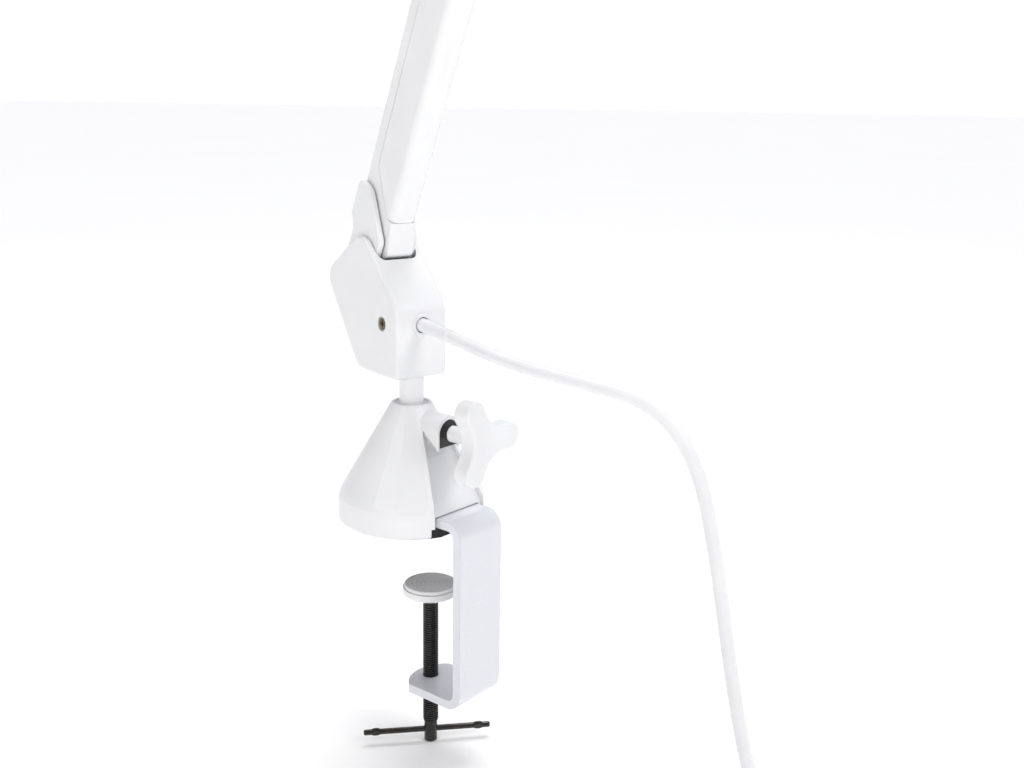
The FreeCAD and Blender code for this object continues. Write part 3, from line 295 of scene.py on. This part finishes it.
def blackRubber():
    look = Shading("blackRubber")
    skin = look.noise(1800, 3, 0.6)
    dust = look.noise(120, 6, 0.75)
    colour = look.tones(dust, [(0.35, (0.014, 0.014, 0.014)), (0.75, (0.04, 0.039, 0.037))])
    roughness = look.spread(dust, 0.62, 0.85)
    look.relief([(skin, 0.3, 0.05)], edge=0.3)
    look.set(specular=0.35)
    return look.finish(colour, roughness)


def blackNylon():
    look = Shading("blackNylon")
    skin = look.noise(2200, 3, 0.6)
    broad = look.noise(140, 4)
    colour = look.tones(broad, [(0.3, (0.010, 0.010, 0.011)), (0.7, (0.024, 0.024, 0.025))])
    roughness = look.spread(broad, 0.38, 0.55)
    look.relief([(skin, 0.2, 0.03)], edge=0.25)
    return look.finish(colour, roughness)


def naturalNylon():
    look = Shading("naturalNylon")
    broad = look.noise(110, 4)
    grain = look.noise(2400, 2)
    colour = look.tones(broad, [(0.3, (0.76, 0.76, 0.75)), (0.7, (0.80, 0.80, 0.79))])
    roughness = look.spread(broad, 0.36, 0.5)
    look.relief([(grain, 0.15, 0.03)], edge=0.25)
    look.set(subsurface=0.15, subsurfaceScale=0.003)
    return look.finish(colour, roughness)


def cordVinyl():
    look = Shading("cordVinyl")
    skin = look.noise(1500, 3)
    dull = look.noise(70, 5, 0.7)
    colour = look.tones(dull, [(0.3, (0.76, 0.77, 0.79)), (0.7, (0.81, 0.815, 0.83))])
    roughness = look.spread(dull, 0.36, 0.52)
    look.relief([(skin, 0.14, 0.03)])
    look.set(subsurface=0.05, subsurfaceScale=0.002, coat=0.08, coatRoughness=0.35)
    return look.finish(colour, roughness)


def greyStrap():
    look = Shading("greyStrap")
    warp = look.waves(420, "X")
    weft = look.waves(420, "Z", 1.0)
    fuzz = look.noise(1600, 4, 0.7)
    weave = look.maths("MAXIMUM", warp, weft)
    dark = look.tones(weave, [(0.1, (0.11, 0.11, 0.115)), (0.9, (0.3, 0.3, 0.31))])
    pale = look.tones(weave, [(0.1, (0.15, 0.15, 0.155)), (0.9, (0.36, 0.36, 0.37))])
    colour = look.mixed(fuzz, dark, pale)
    look.relief([(weave, 0.6, 0.2), (fuzz, 0.3, 0.08)])
    look.set(sheen=0.3)
    return look.finish(colour, look.spread(fuzz, 0.75, 0.95))


def brightNickel():
    look = Shading("brightNickel")
    draw = look.noise(800, 3, 0.6, look.stretched((8, 1, 8)))
    haze = look.noise(60, 4)
    colour = look.tones(haze, [(0.3, (0.62, 0.60, 0.55)), (0.7, (0.72, 0.70, 0.65))])
    roughness = look.spread(look.maths("ADD", draw, haze), 0.1, 0.24, 0.8, 1.2)
    look.relief([(draw, 0.1, 0.02)], edge=0.2)
    look.set(metallic=1.0)
    return look.finish(colour, roughness)


def boardMask():
    look = Shading("boardMask")
    tracks = look.waves(60, "X")
    grain = look.noise(1500, 3)
    colour = look.tones(tracks, [(0.45, (0.72, 0.72, 0.70)), (0.5, (0.78, 0.78, 0.765))])
    look.relief([(tracks, 0.3, 0.05), (grain, 0.1, 0.02)])
    return look.finish(colour, look.spread(grain, 0.3, 0.42))


def phosphor():
    look = Shading("phosphor")
    grain = look.noise(2500, 4, 0.7)
    colour = look.tones(grain, [(0.3, (0.74, 0.56, 0.10)), (0.7, (0.86, 0.70, 0.20))])
    look.relief([(grain, 0.3, 0.05)])
    look.set(subsurface=0.2, subsurfaceScale=0.001)
    return look.finish(colour, look.spread(grain, 0.35, 0.5))


def milkySheet():
    look = Shading("milkySheet")
    prism = look.cells(900)
    haze = look.noise(45, 4)
    colour = look.tones(haze, [(0.3, (0.83, 0.835, 0.83)), (0.7, (0.87, 0.872, 0.868))])
    look.relief([(prism, 0.25, 0.06)], edge=0.3)
    look.set(subsurface=0.3, subsurfaceScale=0.004, transmission=0.08)
    return look.finish(colour, look.spread(haze, 0.28, 0.4))


def paleRubber():
    look = Shading("paleRubber")
    skin = look.noise(1800, 3, 0.6)
    dust = look.noise(120, 6, 0.75)
    colour = look.tones(dust, [(0.35, (0.83, 0.83, 0.835)), (0.75, (0.87, 0.87, 0.875))])
    look.relief([(skin, 0.3, 0.05)], edge=0.3)
    look.set(specular=0.35)
    return look.finish(colour, look.spread(dust, 0.55, 0.75))


finishes = {
    "white_shell": mouldedWhite(),
    "white_steel": powderWhite(),
    "white_enamel": mouldedWhite("whiteEnamel"),
    "dark_steel": darkNickel(),
    "zinc": zincPlate(),
    "bronze_screw": bronzed(),
    "black_steel": blackPaint(),
    "cast_block": castAlloy(),
    "black_rubber": blackRubber(),
    "pale_rubber": paleRubber(),
    "black_nut": blackNylon(),
    "nylon": naturalNylon(),
    "cord_white": cordVinyl(),
    "tie_grey": greyStrap(),
    "pin_metal": brightNickel(),
    "board": boardMask(),
    "led": phosphor(),
    "diffuser": milkySheet(),
}
for part in frame["record"]["subparts"]:
    partMaterials = nodes[part["node"]].data.materials
    partMaterials.clear()
    partMaterials.append(finishes[part["material_slot"]])
print("materials made:", len(finishes))


# mesh helpers

def meshData(name, mesh):
    data = bpy.data.meshes.new(name)
    bmesh.ops.recalc_face_normals(mesh, faces=mesh.faces)
    mesh.to_mesh(data)
    mesh.free()
    return data


def addPart(name, data, body, slot, *replaced):
    data.materials.append(finishes[slot])
    piece = addObject(name, data)
    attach(piece, body)
    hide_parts(*replaced)
    return piece


def addPiece(name, mesh, body, slot, *replaced):
    data = meshData(name, mesh)
    data.shade_smooth()
    return addPart(name, data, body, slot, *replaced)


def axesAlong(direction):
    # two directions square to the given one, and itself
    ahead = Vector(direction).normalized()
    helper = Vector((0, 0, 1)) if abs(ahead.z) < 0.9 else Vector((1, 0, 0))
    sideways = helper.cross(ahead).normalized()
    return sideways, ahead.cross(sideways), ahead


def skinRings(rings, closedLoop=False):
    # joins rings of points with quads; an open run has its first and last ring capped
    mesh = bmesh.new()
    made = [[mesh.verts.new(point) for point in ring] for ring in rings]
    count = len(made[0])
    pairs = list(zip(made, made[1:]))
    if closedLoop:
        pairs.append((made[-1], made[0]))
    for near, far in pairs:
        for i in range(count):
            j = (i + 1) % count
            mesh.faces.new((near[i], near[j], far[j], far[i]))
    if not closedLoop:
        mesh.faces.new(list(reversed(made[0])))
        mesh.faces.new(made[-1])
    return mesh


def turnedRings(start, direction, profile, steps=48):
    # rings of a turned shape; profile is (distance along, radius) in millimetres
    sideways, upright, ahead = axesAlong(direction)
    rings = []
    for distance, radius in profile:
        centre = Vector(start) + ahead * distance * mm
        ring = []
        for i in range(steps):
            angle = 2 * math.pi * i / steps
            ring.append(centre + (sideways * math.cos(angle) + upright * math.sin(angle)) * radius * mm)
        rings.append(ring)
    return rings


def sharpen(piece, degrees):
    # keeps edges steeper than this angle crisp on a smooth-shaded mesh
    data = piece.data
    limit = math.radians(degrees)
    mesh = bmesh.new()
    mesh.from_mesh(data)
    for edge in mesh.edges:
        if len(edge.link_faces) == 2:
            edge.smooth = edge.calc_face_angle() < limit
    mesh.to_mesh(data)
    mesh.free()
    return piece


# cord, its tapered sleeve, tie and plug

cord = {
    "diameter": 6.0,
    "length": 1.8,
    "exit": (0, 10.3, 99.6),
    "route": [(0, 33, 98), (-5, 72, 91.6), (-17, 109, 88.4), (-31, 137, 84), (-41, 154, 62),
              (-46, 163, 22), (-49, 171, -24), (-50, 183, -68), (-47, 206, -103),
              (-42, 238, -116.3), (-37.5, 262, -116.3)],
    "coilCentre": (-4, 272),
    "innerTurn": 31.6,
    "outerTurn": 38.2,
    "leadInTurn": 36.0,
    "easeSteps": 5,
    "layers": [3.0, 9.3, 15.6, 21.9],
    "floor": -119.3,
    "pointsPerTurn": 16,
    "plugNeck": (33, 262, -112.8),
}


def coilPoints(facts):
    # wound clockwise from the far side: up the inner column, then down the outer one
    inner, outer = facts["innerTurn"], facts["outerTurn"]
    layers = facts["layers"]
    turns = [(inner, layers[0]), (inner, layers[1]), (inner, layers[2]), (inner, layers[3]),
             (outer, layers[2]), (outer, layers[1]), (outer, layers[0])]
    count = facts["pointsPerTurn"]
    points = []
    for number, (radius, height) in enumerate(turns):
        last = number == len(turns) - 1
        beforeRadius, beforeHeight = turns[number - 1] if number else (facts["leadInTurn"], height)
        for step in range(1 if number == 0 else 0, count // 2 if last else count):
            ease = eased(step / facts["easeSteps"])
            r = beforeRadius + (radius - beforeRadius) * ease
            z = beforeHeight + (height - beforeHeight) * ease
            angle = math.pi - 2 * math.pi * step / count
            x = facts["coilCentre"][0] + r * math.cos(angle)
            y = facts["coilCentre"][1] + r * math.sin(angle)
            points.append((x, y, facts["floor"] + z))
    return points


def addCord(facts):
    neckSide, neckOut, neckUp = facts["plugNeck"]
    ending = [(neckSide + 0.6, neckOut + 8, neckUp - 2.4), (neckSide, neckOut, neckUp),
              (neckSide, neckOut - 6, neckUp)]
    points = [facts["exit"]] + facts["route"] + coilPoints(facts) + ending
    data = bpy.data.curves.new("mainsLead", "CURVE")
    data.dimensions = "3D"
    data.bevel_depth = facts["diameter"] / 2 * mm
    data.bevel_resolution = 5
    data.resolution_u = 10
    data.use_fill_caps = True
    spline = data.splines.new("NURBS")
    spline.points.add(len(points) - 1)
    for spot, point in zip(spline.points, points):
        spot.co = (*upperPoint(*point), 1)
    spline.order_u = 3
    spline.use_endpoint_u = True
    return addPart("mainsLead", data, "swivel", "cord_white", "cord_tube", "cord_coil")


sleeve = {
    "length": 26.0, "inside": 3.0, "thick": 3.4, "thin": 3.1, "endStep": 0.08,
    "ribs": 6, "ribDepth": 0.12, "ribsFrom": 0.2, "ribsTo": 0.85, "steps": 60,
}


def addSleeve(facts):
    # tapered strain relief with shallow rings
    start = upperPoint(*cord["exit"])
    ahead = (upperPoint(*cord["route"][0]) - start).normalized()
    ribsFrom, ribsTo = facts["ribsFrom"], facts["ribsTo"]
    profile = []
    for i in range(facts["steps"] + 1):
        t = i / facts["steps"]
        radius = facts["thick"] + (facts["thin"] - facts["thick"]) * t
        if ribsFrom < t < ribsTo:
            wave = (t - ribsFrom) / (ribsTo - ribsFrom) * facts["ribs"] * 2 * math.pi
            radius -= facts["ribDepth"] * (0.5 - 0.5 * math.cos(wave))
        if i == facts["steps"]:
            radius -= facts["endStep"]
        profile.append((-facts["inside"] + t * facts["length"], radius))
    mesh = skinRings(turnedRings(start, ahead, profile))
    return addPiece("strainRelief", mesh, "swivel", "cord_white", "cord_sleeve")


# each of the plug's sections is (distance towards the lead, half width, half height)
plug = {
    "side": 33, "back": 242, "up": -112.8, "neckFrom": 3, "neckPower": 2.0, "bodyPower": 2.8,
    "stepsAround": 56,
    "sections": [(20, 3.5, 3.5), (17, 3.9, 3.9), (14, 4.5, 4.3), (10, 5.1, 4.7), (6, 5.7, 5.1),
                 (3, 6.8, 5.4), (1, 8.6, 5.7), (-2, 10.8, 6.0), (-6, 12.1, 6.25), (-12, 12.5, 6.3),
                 (-20, 12.0, 6.05), (-27, 12.3, 6.2), (-32, 12.5, 6.3), (-33.4, 12.3, 6.1),
                 (-34, 11.7, 5.6)],
}


def addPlug(facts):
    # flat moulded plug: a tapered neck swells into a body with a finger waist
    rings = []
    for out, wide, tall in facts["sections"]:
        ring = []
        power = facts["neckPower"] if out > facts["neckFrom"] else facts["bodyPower"]
        for i in range(facts["stepsAround"]):
            angle = 2 * math.pi * i / facts["stepsAround"]
            c, s = math.cos(angle), math.sin(angle)
            x = wide * math.copysign(abs(c) ** (2 / power), c)
            z = tall * math.copysign(abs(s) ** (2 / power), s)
            ring.append(upperPoint(facts["side"] + x, facts["back"] + out, facts["up"] + z))
        rings.append(ring)
    piece = addPiece("plugShell", skinRings(rings), "swivel", "cord_white", "plug_body")
    smoother = piece.modifiers.new("smoother", "SUBSURF")
    smoother.levels = 1
    smoother.render_levels = 1
    return piece


tie = {"width": 9.0, "thick": 0.8, "gap": 0.35, "tightness": 0.985, "lift": 0.05, "edge": 0.15}


def addTie(facts):
    # woven strap pulled round the turns at the coil's far side
    centreSide, centreOut = cord["coilCentre"]
    half = cord["diameter"] / 2 + facts["gap"]
    inner = cord["innerTurn"] * facts["tightness"] - half
    outer = cord["outerTurn"] * facts["tightness"] + half
    low = cord["floor"] + facts["lift"]
    topInner = cord["floor"] + cord["layers"][3] + half
    topOuter = cord["floor"] + cord["layers"][2] + half
    shoulder = cord["innerTurn"] + half
    # the strap's inner line, as (distance from the coil's middle, height), with its corners cut off
    outline = [(inner, low + 1.5), (inner, topInner - 2), (inner + 1.4, topInner),
               (shoulder - 1.5, topInner), (shoulder + 0.6, topInner - 1.4),
               (outer - 1.6, topOuter), (outer, topOuter - 1.8), (outer, low + 1.6),
               (outer - 1.5, low + 0.4), (inner + 1.5, low + 0.4)]
    middle = [sum(spot[axis] for spot in outline) / len(outline) for axis in (0, 1)]
    rings = []
    for r, z in outline:
        away = Vector((r - middle[0], z - middle[1])).normalized() * facts["thick"]
        ring = []
        for shift, side in ((0, -1), (0, 1), (1, 1), (1, -1)):
            x = centreSide + side * facts["width"] / 2
            spotZ = max(z + away.y * shift, cord["floor"] + 0.02)
            ring.append(upperPoint(x, centreOut + r + away.x * shift, spotZ))
        rings.append(ring)
    piece = addPiece("leadTie", skinRings(rings, closedLoop=True), "swivel", "tie_grey", "cord_tie")
    rounded = piece.modifiers.new("rounded", "BEVEL")
    rounded.width = facts["edge"] * mm
    rounded.segments = 2
    return sharpen(piece, 80)


mainsLead = addCord(cord)
strainRelief = addSleeve(sleeve)
plugShell = addPlug(plug)
leadTie = addTie(tie)
print("cord laid")

# clamp screw with its rolled thread

screw = {
    "axis": (0.0, 12.85),
    "tip": -34.8,
    "threadEnd": -107.5,
    "foot": -119.3,
    "crest": 3.95,
    "root": 3.32,
    "shank": 3.35,
    "pitch": 1.25,
    "rootShare": 0.12,
    "flankShare": 0.72,
    "runOut": 1.2,
    "footChamfer": 0.7,
    "tipChamfer": 1.0,
    "tipSlope": 0.9,
    "endDisc": 1.2,
    "shankStep": 1.5,
    "stepsAround": 48,
    "stepsPerTurn": 16,
}
sliver = 0.001


def screwLevels(facts):
    # heights of the rings: a few up the shank, then many up the thread
    foot, chamfer = facts["foot"], facts["footChamfer"]
    levels = [foot, foot + sliver, foot + chamfer]
    z = foot + 2 * chamfer
    while z < facts["threadEnd"] - facts["shankStep"]:
        levels.append(z)
        z += facts["shankStep"]
    z = facts["threadEnd"] - facts["runOut"]
    while z < facts["tip"]:
        levels.append(z)
        z += facts["pitch"] / facts["stepsPerTurn"]
    return levels + [facts["tip"], facts["tip"] + sliver]


def screwRadius(facts, z, turn):
    # the thread's depth is set by how far the spot is round its turn
    if z < facts["foot"] + facts["footChamfer"]:
        return facts["shank"] - facts["footChamfer"] + (z - facts["foot"])
    phase = (z / facts["pitch"] - turn) % 1.0
    flank = abs(phase - 0.5) * 2
    depth = eased((flank - facts["rootShare"]) / facts["flankShare"])
    threaded = facts["root"] + (facts["crest"] - facts["root"]) * depth
    pastEnd = z - facts["threadEnd"] + facts["runOut"]
    fadeIn = min(1.0, max(0.0, pastEnd / (1.5 * facts["runOut"])))
    radius = facts["shank"] + (threaded - facts["shank"]) * fadeIn
    fromTip = max(0.0, facts["tip"] - z)
    return min(radius, facts["crest"] - facts["tipChamfer"] + fromTip * facts["tipSlope"])


def addClampScrew(facts):
    # one skin from foot to tip
    around = facts["stepsAround"]
    levels = screwLevels(facts)
    centre = Vector((facts["axis"][0], facts["axis"][1], 0))
    rings = []
    for number, z in enumerate(levels):
        ring = []
        for i in range(around):
            turn = i / around
            atEnd = number in (0, len(levels) - 1)
            radius = facts["endDisc"] if atEnd else screwRadius(facts, z, turn)
            angle = 2 * math.pi * turn
            spot = Vector((radius * math.cos(angle), radius * math.sin(angle), z))
            ring.append((centre + spot) * mm)
        rings.append(ring)
    piece = addPiece("clampScrewRod", skinRings(rings), "clamp_screw", "dark_steel", "clamp_screw")
    return sharpen(piece, 50)


crossBar = {
    "axis": (0.0, 12.85),
    "height": -113.0,
    "direction": math.radians(138.9),
    "shift": -1.8,
    "length": 66.0,
    "radius": 1.5,
    "swageAt": 6.5,
    "swageLong": 4.0,
    "swageTall": 2.1,
    "swageThin": 1.2,
    "capLength": 1.2,
    "capTip": 0.08,
    "capSteps": 8,
    "step": 0.5,
    "stepsAround": 32,
    "notch": 1.5,
    "notchTool": {"long": 2.4, "halfHigh": 1.2, "reach": 3.0},
}


def carve(piece, tools):
    # cuts the tool shapes out of a piece and keeps the result as its mesh
    for tool in tools:
        cutter = addObject("carvingTool", meshData("carvingTool", tool))
        cut = piece.modifiers.new("carve", "BOOLEAN")
        cut.operation = "DIFFERENCE"
        cut.solver = "EXACT"
        cut.object = cutter
        bpy.context.view_layer.update()
        cutPiece = piece.evaluated_get(bpy.context.evaluated_depsgraph_get())
        carved = bpy.data.meshes.new_from_object(cutPiece)
        piece.modifiers.clear()
        piece.data = carved
        bpy.data.objects.remove(cutter)
    return piece


def wedge(tip, outward, across, tool):
    # a V-shaped tool whose edge runs across the bar, open towards the bar's end
    lift = Vector((0, 0, tool["halfHigh"]))
    rings = []
    for side in (-1, 1):
        middle = tip + across * side * tool["reach"]
        base = middle + outward * tool["long"]
        rings.append([middle * mm, (base + lift) * mm, (base - lift) * mm])
    return skinRings(rings)


def addCrossBar(facts):
    # a plain bar with rounded ends, pinched flat near each of them and notched at its tips
    ahead = Vector((math.cos(facts["direction"]), math.sin(facts["direction"]), 0))
    sideways = Vector((-ahead.y, ahead.x, 0))
    upright = Vector((0, 0, 1))
    middle = Vector((facts["axis"][0], facts["axis"][1], facts["height"])) + ahead * facts["shift"]
    half, capLength, capSteps = facts["length"] / 2, facts["capLength"], facts["capSteps"]
    stations = []
    for i in range(capSteps + 1):
        turn = math.pi / 2 * i / capSteps
        stations.append(-half + capLength * (1 - math.cos(turn)))
    inner = -half + capLength
    while inner < half - capLength:
        inner += facts["step"]
        stations.append(min(inner, half - capLength))
    for i in range(1, capSteps + 1):
        turn = math.pi / 2 * i / capSteps
        stations.append(half - capLength + capLength * math.sin(turn))
    rings = []
    for along in stations:
        fromEnd = half - abs(along)
        cap = 1.0
        if fromEnd < capLength:
            arc = math.sqrt(max(0.0, 1 - ((capLength - fromEnd) / capLength) ** 2))
            cap = arc * (1 - facts["capTip"]) + facts["capTip"]
        fromSwage = abs(half - facts["swageAt"] - abs(along)) / (facts["swageLong"] / 2)
        pinch = max(0.0, 1 - fromSwage ** 4) if fromSwage < 1 else 0.0
        tall = (facts["radius"] + (facts["swageTall"] - facts["radius"]) * pinch) * cap
        thin = (facts["radius"] + (facts["swageThin"] - facts["radius"]) * pinch) * cap
        ring = []
        for i in range(facts["stepsAround"]):
            angle = 2 * math.pi * i / facts["stepsAround"]
            ring.append((middle + ahead * along + sideways * thin * math.cos(angle)
                         + upright * tall * math.sin(angle)) * mm)
        rings.append(ring)
    piece = addPiece("crossBar", skinRings(rings), "t_bar", "dark_steel", "t_bar")
    tools = []
    for sign in (-1, 1):
        tip = middle + ahead * sign * (half - facts["notch"])
        tools.append(wedge(tip, ahead * sign, sideways, facts["notchTool"]))
    return sharpen(carve(piece, tools), 40)


clampPad = {
    "centre": (0.0, 12.85), "low": -33.8, "top": -31.8, "radius": 13.2, "hub": 0.4,
    "grooves": 5, "outerGroove": 1.6, "grooveDeep": 0.25, "grooveWide": 1.0, "grooveSlope": 0.3,
    "stepsAround": 72,
}


def addClampPad(facts):
    # rubber disc with ring grooves in its face
    start = Vector((facts["centre"][0], facts["centre"][1], facts["low"])) * mm
    tall, outer = facts["top"] - facts["low"], facts["radius"]
    wide, slope, bottom = facts["grooveWide"], facts["grooveSlope"], tall - facts["grooveDeep"]
    profile = [(0, facts["hub"]), (0, outer - 0.3), (0.3, outer), (tall - 0.5, outer),
               (tall - 0.1, outer - 0.35), (tall, outer - 0.8)]
    spacing = (outer - facts["hub"] - 2 * wide) / facts["grooves"]
    for groove in range(facts["grooves"]):
        r = outer - facts["outerGroove"] - groove * spacing
        profile += [(tall, r), (bottom, r - slope), (bottom, r - wide + slope), (tall, r - wide)]
    profile.append((tall, facts["hub"]))
    mesh = skinRings(turnedRings(start, (0, 0, 1), profile, facts["stepsAround"]))
    return sharpen(addPiece("clampPadRubber", mesh, "clamp_pad", "pale_rubber", "pad_face"), 35)


addClampScrew(screw)
addCrossBar(crossBar)
addClampPad(clampPad)
print("clamp screw cut")

# balance springs inside the arms

armFacts = {
    "lower": {"pivot": (-35.4, 120.1), "lean": 26.3, "linkAngle": 36.5, "body": "lower_arm"},
    "upper": {"pivot": (116.967, 490.765), "lean": -82.0, "linkAngle": 2.5, "body": "upper_arm"},
}
spring = {
    "from": 60.0, "to": 206.0, "radius": 3.6, "wire": 1.1, "pitch": 1.35, "linkOffset": 9.0,
    "hook": 2.6, "hookFrom": -60, "hookStep": 30, "hookPoints": 11, "stem": 5.4, "stepsPerTurn": 12,
}


def addSpring(name, arm):
    # close-wound wire with a straight tail to its hook and a stem to the anchor
    hookAngle = math.radians(arm["linkAngle"] + 180)
    y = spring["linkOffset"] * math.cos(hookAngle)
    hookZ = spring["linkOffset"] * math.sin(hookAngle)
    lean = math.radians(arm["lean"])

    def inArm(x, out, up):
        v = arm["pivot"][0] + out * math.cos(lean) + up * math.sin(lean)
        z = arm["pivot"][1] - out * math.sin(lean) + up * math.cos(lean)
        return upperPoint(x, v, z)

    hook, low, high = spring["hook"], spring["from"], spring["to"]
    local = []
    for i in range(spring["hookPoints"]):
        angle = math.radians(spring["hookFrom"] + spring["hookStep"] * i)
        local.append((0, y + hook * math.sin(angle), hookZ - hook * math.cos(angle)))
    local += [(0, y, hookZ + hook + 3), (0, y, low - 4), (0, y, low - 1)]
    turns = int((high - low) / spring["pitch"])
    perTurn = spring["stepsPerTurn"]
    for i in range(turns * perTurn + 1):
        angle = 2 * math.pi * i / perTurn
        x, out = spring["radius"] * math.cos(angle), spring["radius"] * math.sin(angle)
        local.append((x, y + out, low + spring["pitch"] * i / perTurn))
    local += [(0, y, high + 1.2), (0, y, high + spring["stem"])]
    data = bpy.data.curves.new(name + "SpringWire", "CURVE")
    data.dimensions = "3D"
    data.bevel_depth = spring["wire"] / 2 * mm
    data.bevel_resolution = 2
    data.resolution_u = 1
    data.use_fill_caps = True
    line = data.splines.new("POLY")
    line.points.add(len(local) - 1)
    for spot, point in zip(line.points, local):
        spot.co = (*inArm(*point), 1)
    return addPart(name + "SpringWire", data, arm["body"], "zinc", name + "_spring")


for armName, armValues in armFacts.items():
    addSpring(armName, armValues)
print("springs wound")

# studio: pale floor, soft light

studio = {
    "floorSize": 60.0,
    "floorHeight": cord["floor"] * mm,
    "floorColour": (0.99, 0.99, 0.99),
    "backdrop": (1.0, 1.0, 1.0),
    "backdropStrength": 1.05,
    "skyStops": [(0.5, (0.8, 0.81, 0.84)), (0.56, (0.5, 0.505, 0.53)), (0.75, (0.4, 0.4, 0.42)),
                 (1.0, (0.55, 0.55, 0.57))],
    "lights": [
        {"name": "keyPanel", "place": (-0.1, 1.5, 1.1), "size": 0.7, "power": 9,
         "colour": (1, 0.99, 0.97)},
        {"name": "sidePanel", "place": (1.3, -0.15, 1.1), "size": 0.8, "power": 2.3,
         "colour": (1, 1, 1)},
        {"name": "glint", "place": (1.02, 0.4, 0.32), "size": 0.04, "power": 1.8,
         "colour": (1, 0.93, 0.84)},
    ],
    "overhead": {"power": 1.75, "spread": 40, "tilt": (8, -14, 0)},
    "aim": (0, 0, 0.1),
}


def addFloor(facts):
    mesh = bmesh.new()
    half = facts["floorSize"] / 2
    corners = [(-half, -half), (half, -half), (half, half), (-half, half)]
    mesh.faces.new([mesh.verts.new((x, y, facts["floorHeight"])) for x, y in corners])
    data = bpy.data.meshes.new("studioFloor")
    mesh.to_mesh(data)
    mesh.free()
    look = Shading("floorPaint")
    drift = look.noise(1.5, 3)
    base = facts["floorColour"]
    colour = look.tones(drift, [(0.3, base), (0.7, tuple(min(1, c * 1.01) for c in base))])
    look.finish(colour, look.spread(look.noise(300, 3), 0.6, 0.7))
    look.set(specular=0.2)
    data.materials.append(look.material)
    addObject("studioFloor", data)


def addSky(facts):
    # a white backdrop is seen directly; the lamp is lit by a softer sky with a paler top
    world = bpy.data.worlds.new("studioSky")
    world.use_nodes = True
    tree = world.node_tree
    backdrop = tree.nodes["Background"]
    backdrop.inputs["Color"].default_value = (*facts["backdrop"], 1)
    backdrop.inputs["Strength"].default_value = facts["backdropStrength"]
    sky = tree.nodes.new("ShaderNodeBackground")
    coords = tree.nodes.new("ShaderNodeTexCoord")
    height = tree.nodes.new("ShaderNodeSeparateXYZ")
    halved = tree.nodes.new("ShaderNodeMapRange")
    halved.inputs["From Min"].default_value = -1
    ramp = tree.nodes.new("ShaderNodeValToRGB")
    fillRamp(ramp, facts["skyStops"])
    rays = tree.nodes.new("ShaderNodeLightPath")
    chooser = tree.nodes.new("ShaderNodeMixShader")
    tree.links.new(coords.outputs["Generated"], height.inputs[0])
    tree.links.new(height.outputs["Z"], halved.inputs["Value"])
    tree.links.new(halved.outputs["Result"], ramp.inputs["Fac"])
    tree.links.new(ramp.outputs["Color"], sky.inputs["Color"])
    tree.links.new(rays.outputs["Is Camera Ray"], chooser.inputs[0])
    tree.links.new(sky.outputs[0], chooser.inputs[1])
    tree.links.new(backdrop.outputs[0], chooser.inputs[2])
    tree.links.new(chooser.outputs[0], tree.nodes["World Output"].inputs["Surface"])
    bpy.context.scene.world = world
    bpy.context.scene.view_settings.view_transform = "Standard"


def addLights(facts):
    overhead = bpy.data.lights.new("overhead", "SUN")
    overhead.energy = facts["overhead"]["power"]
    overhead.angle = math.radians(facts["overhead"]["spread"])
    ceiling = addObject("overhead", overhead)
    ceiling.rotation_euler = [math.radians(turn) for turn in facts["overhead"]["tilt"]]
    for light in facts["lights"]:
        lamp = bpy.data.lights.new(light["name"], "AREA")
        lamp.shape = "SQUARE"
        lamp.size = light["size"]
        lamp.energy = light["power"]
        lamp.color = light["colour"]
        panel = addObject(light["name"], lamp)
        panel.location = light["place"]
        aim = Vector(facts["aim"]) - Vector(light["place"])
        panel.rotation_euler = aim.to_track_quat("-Z", "Y").to_euler()


addFloor(studio)
addSky(studio)
addLights(studio)
print("studio lit")
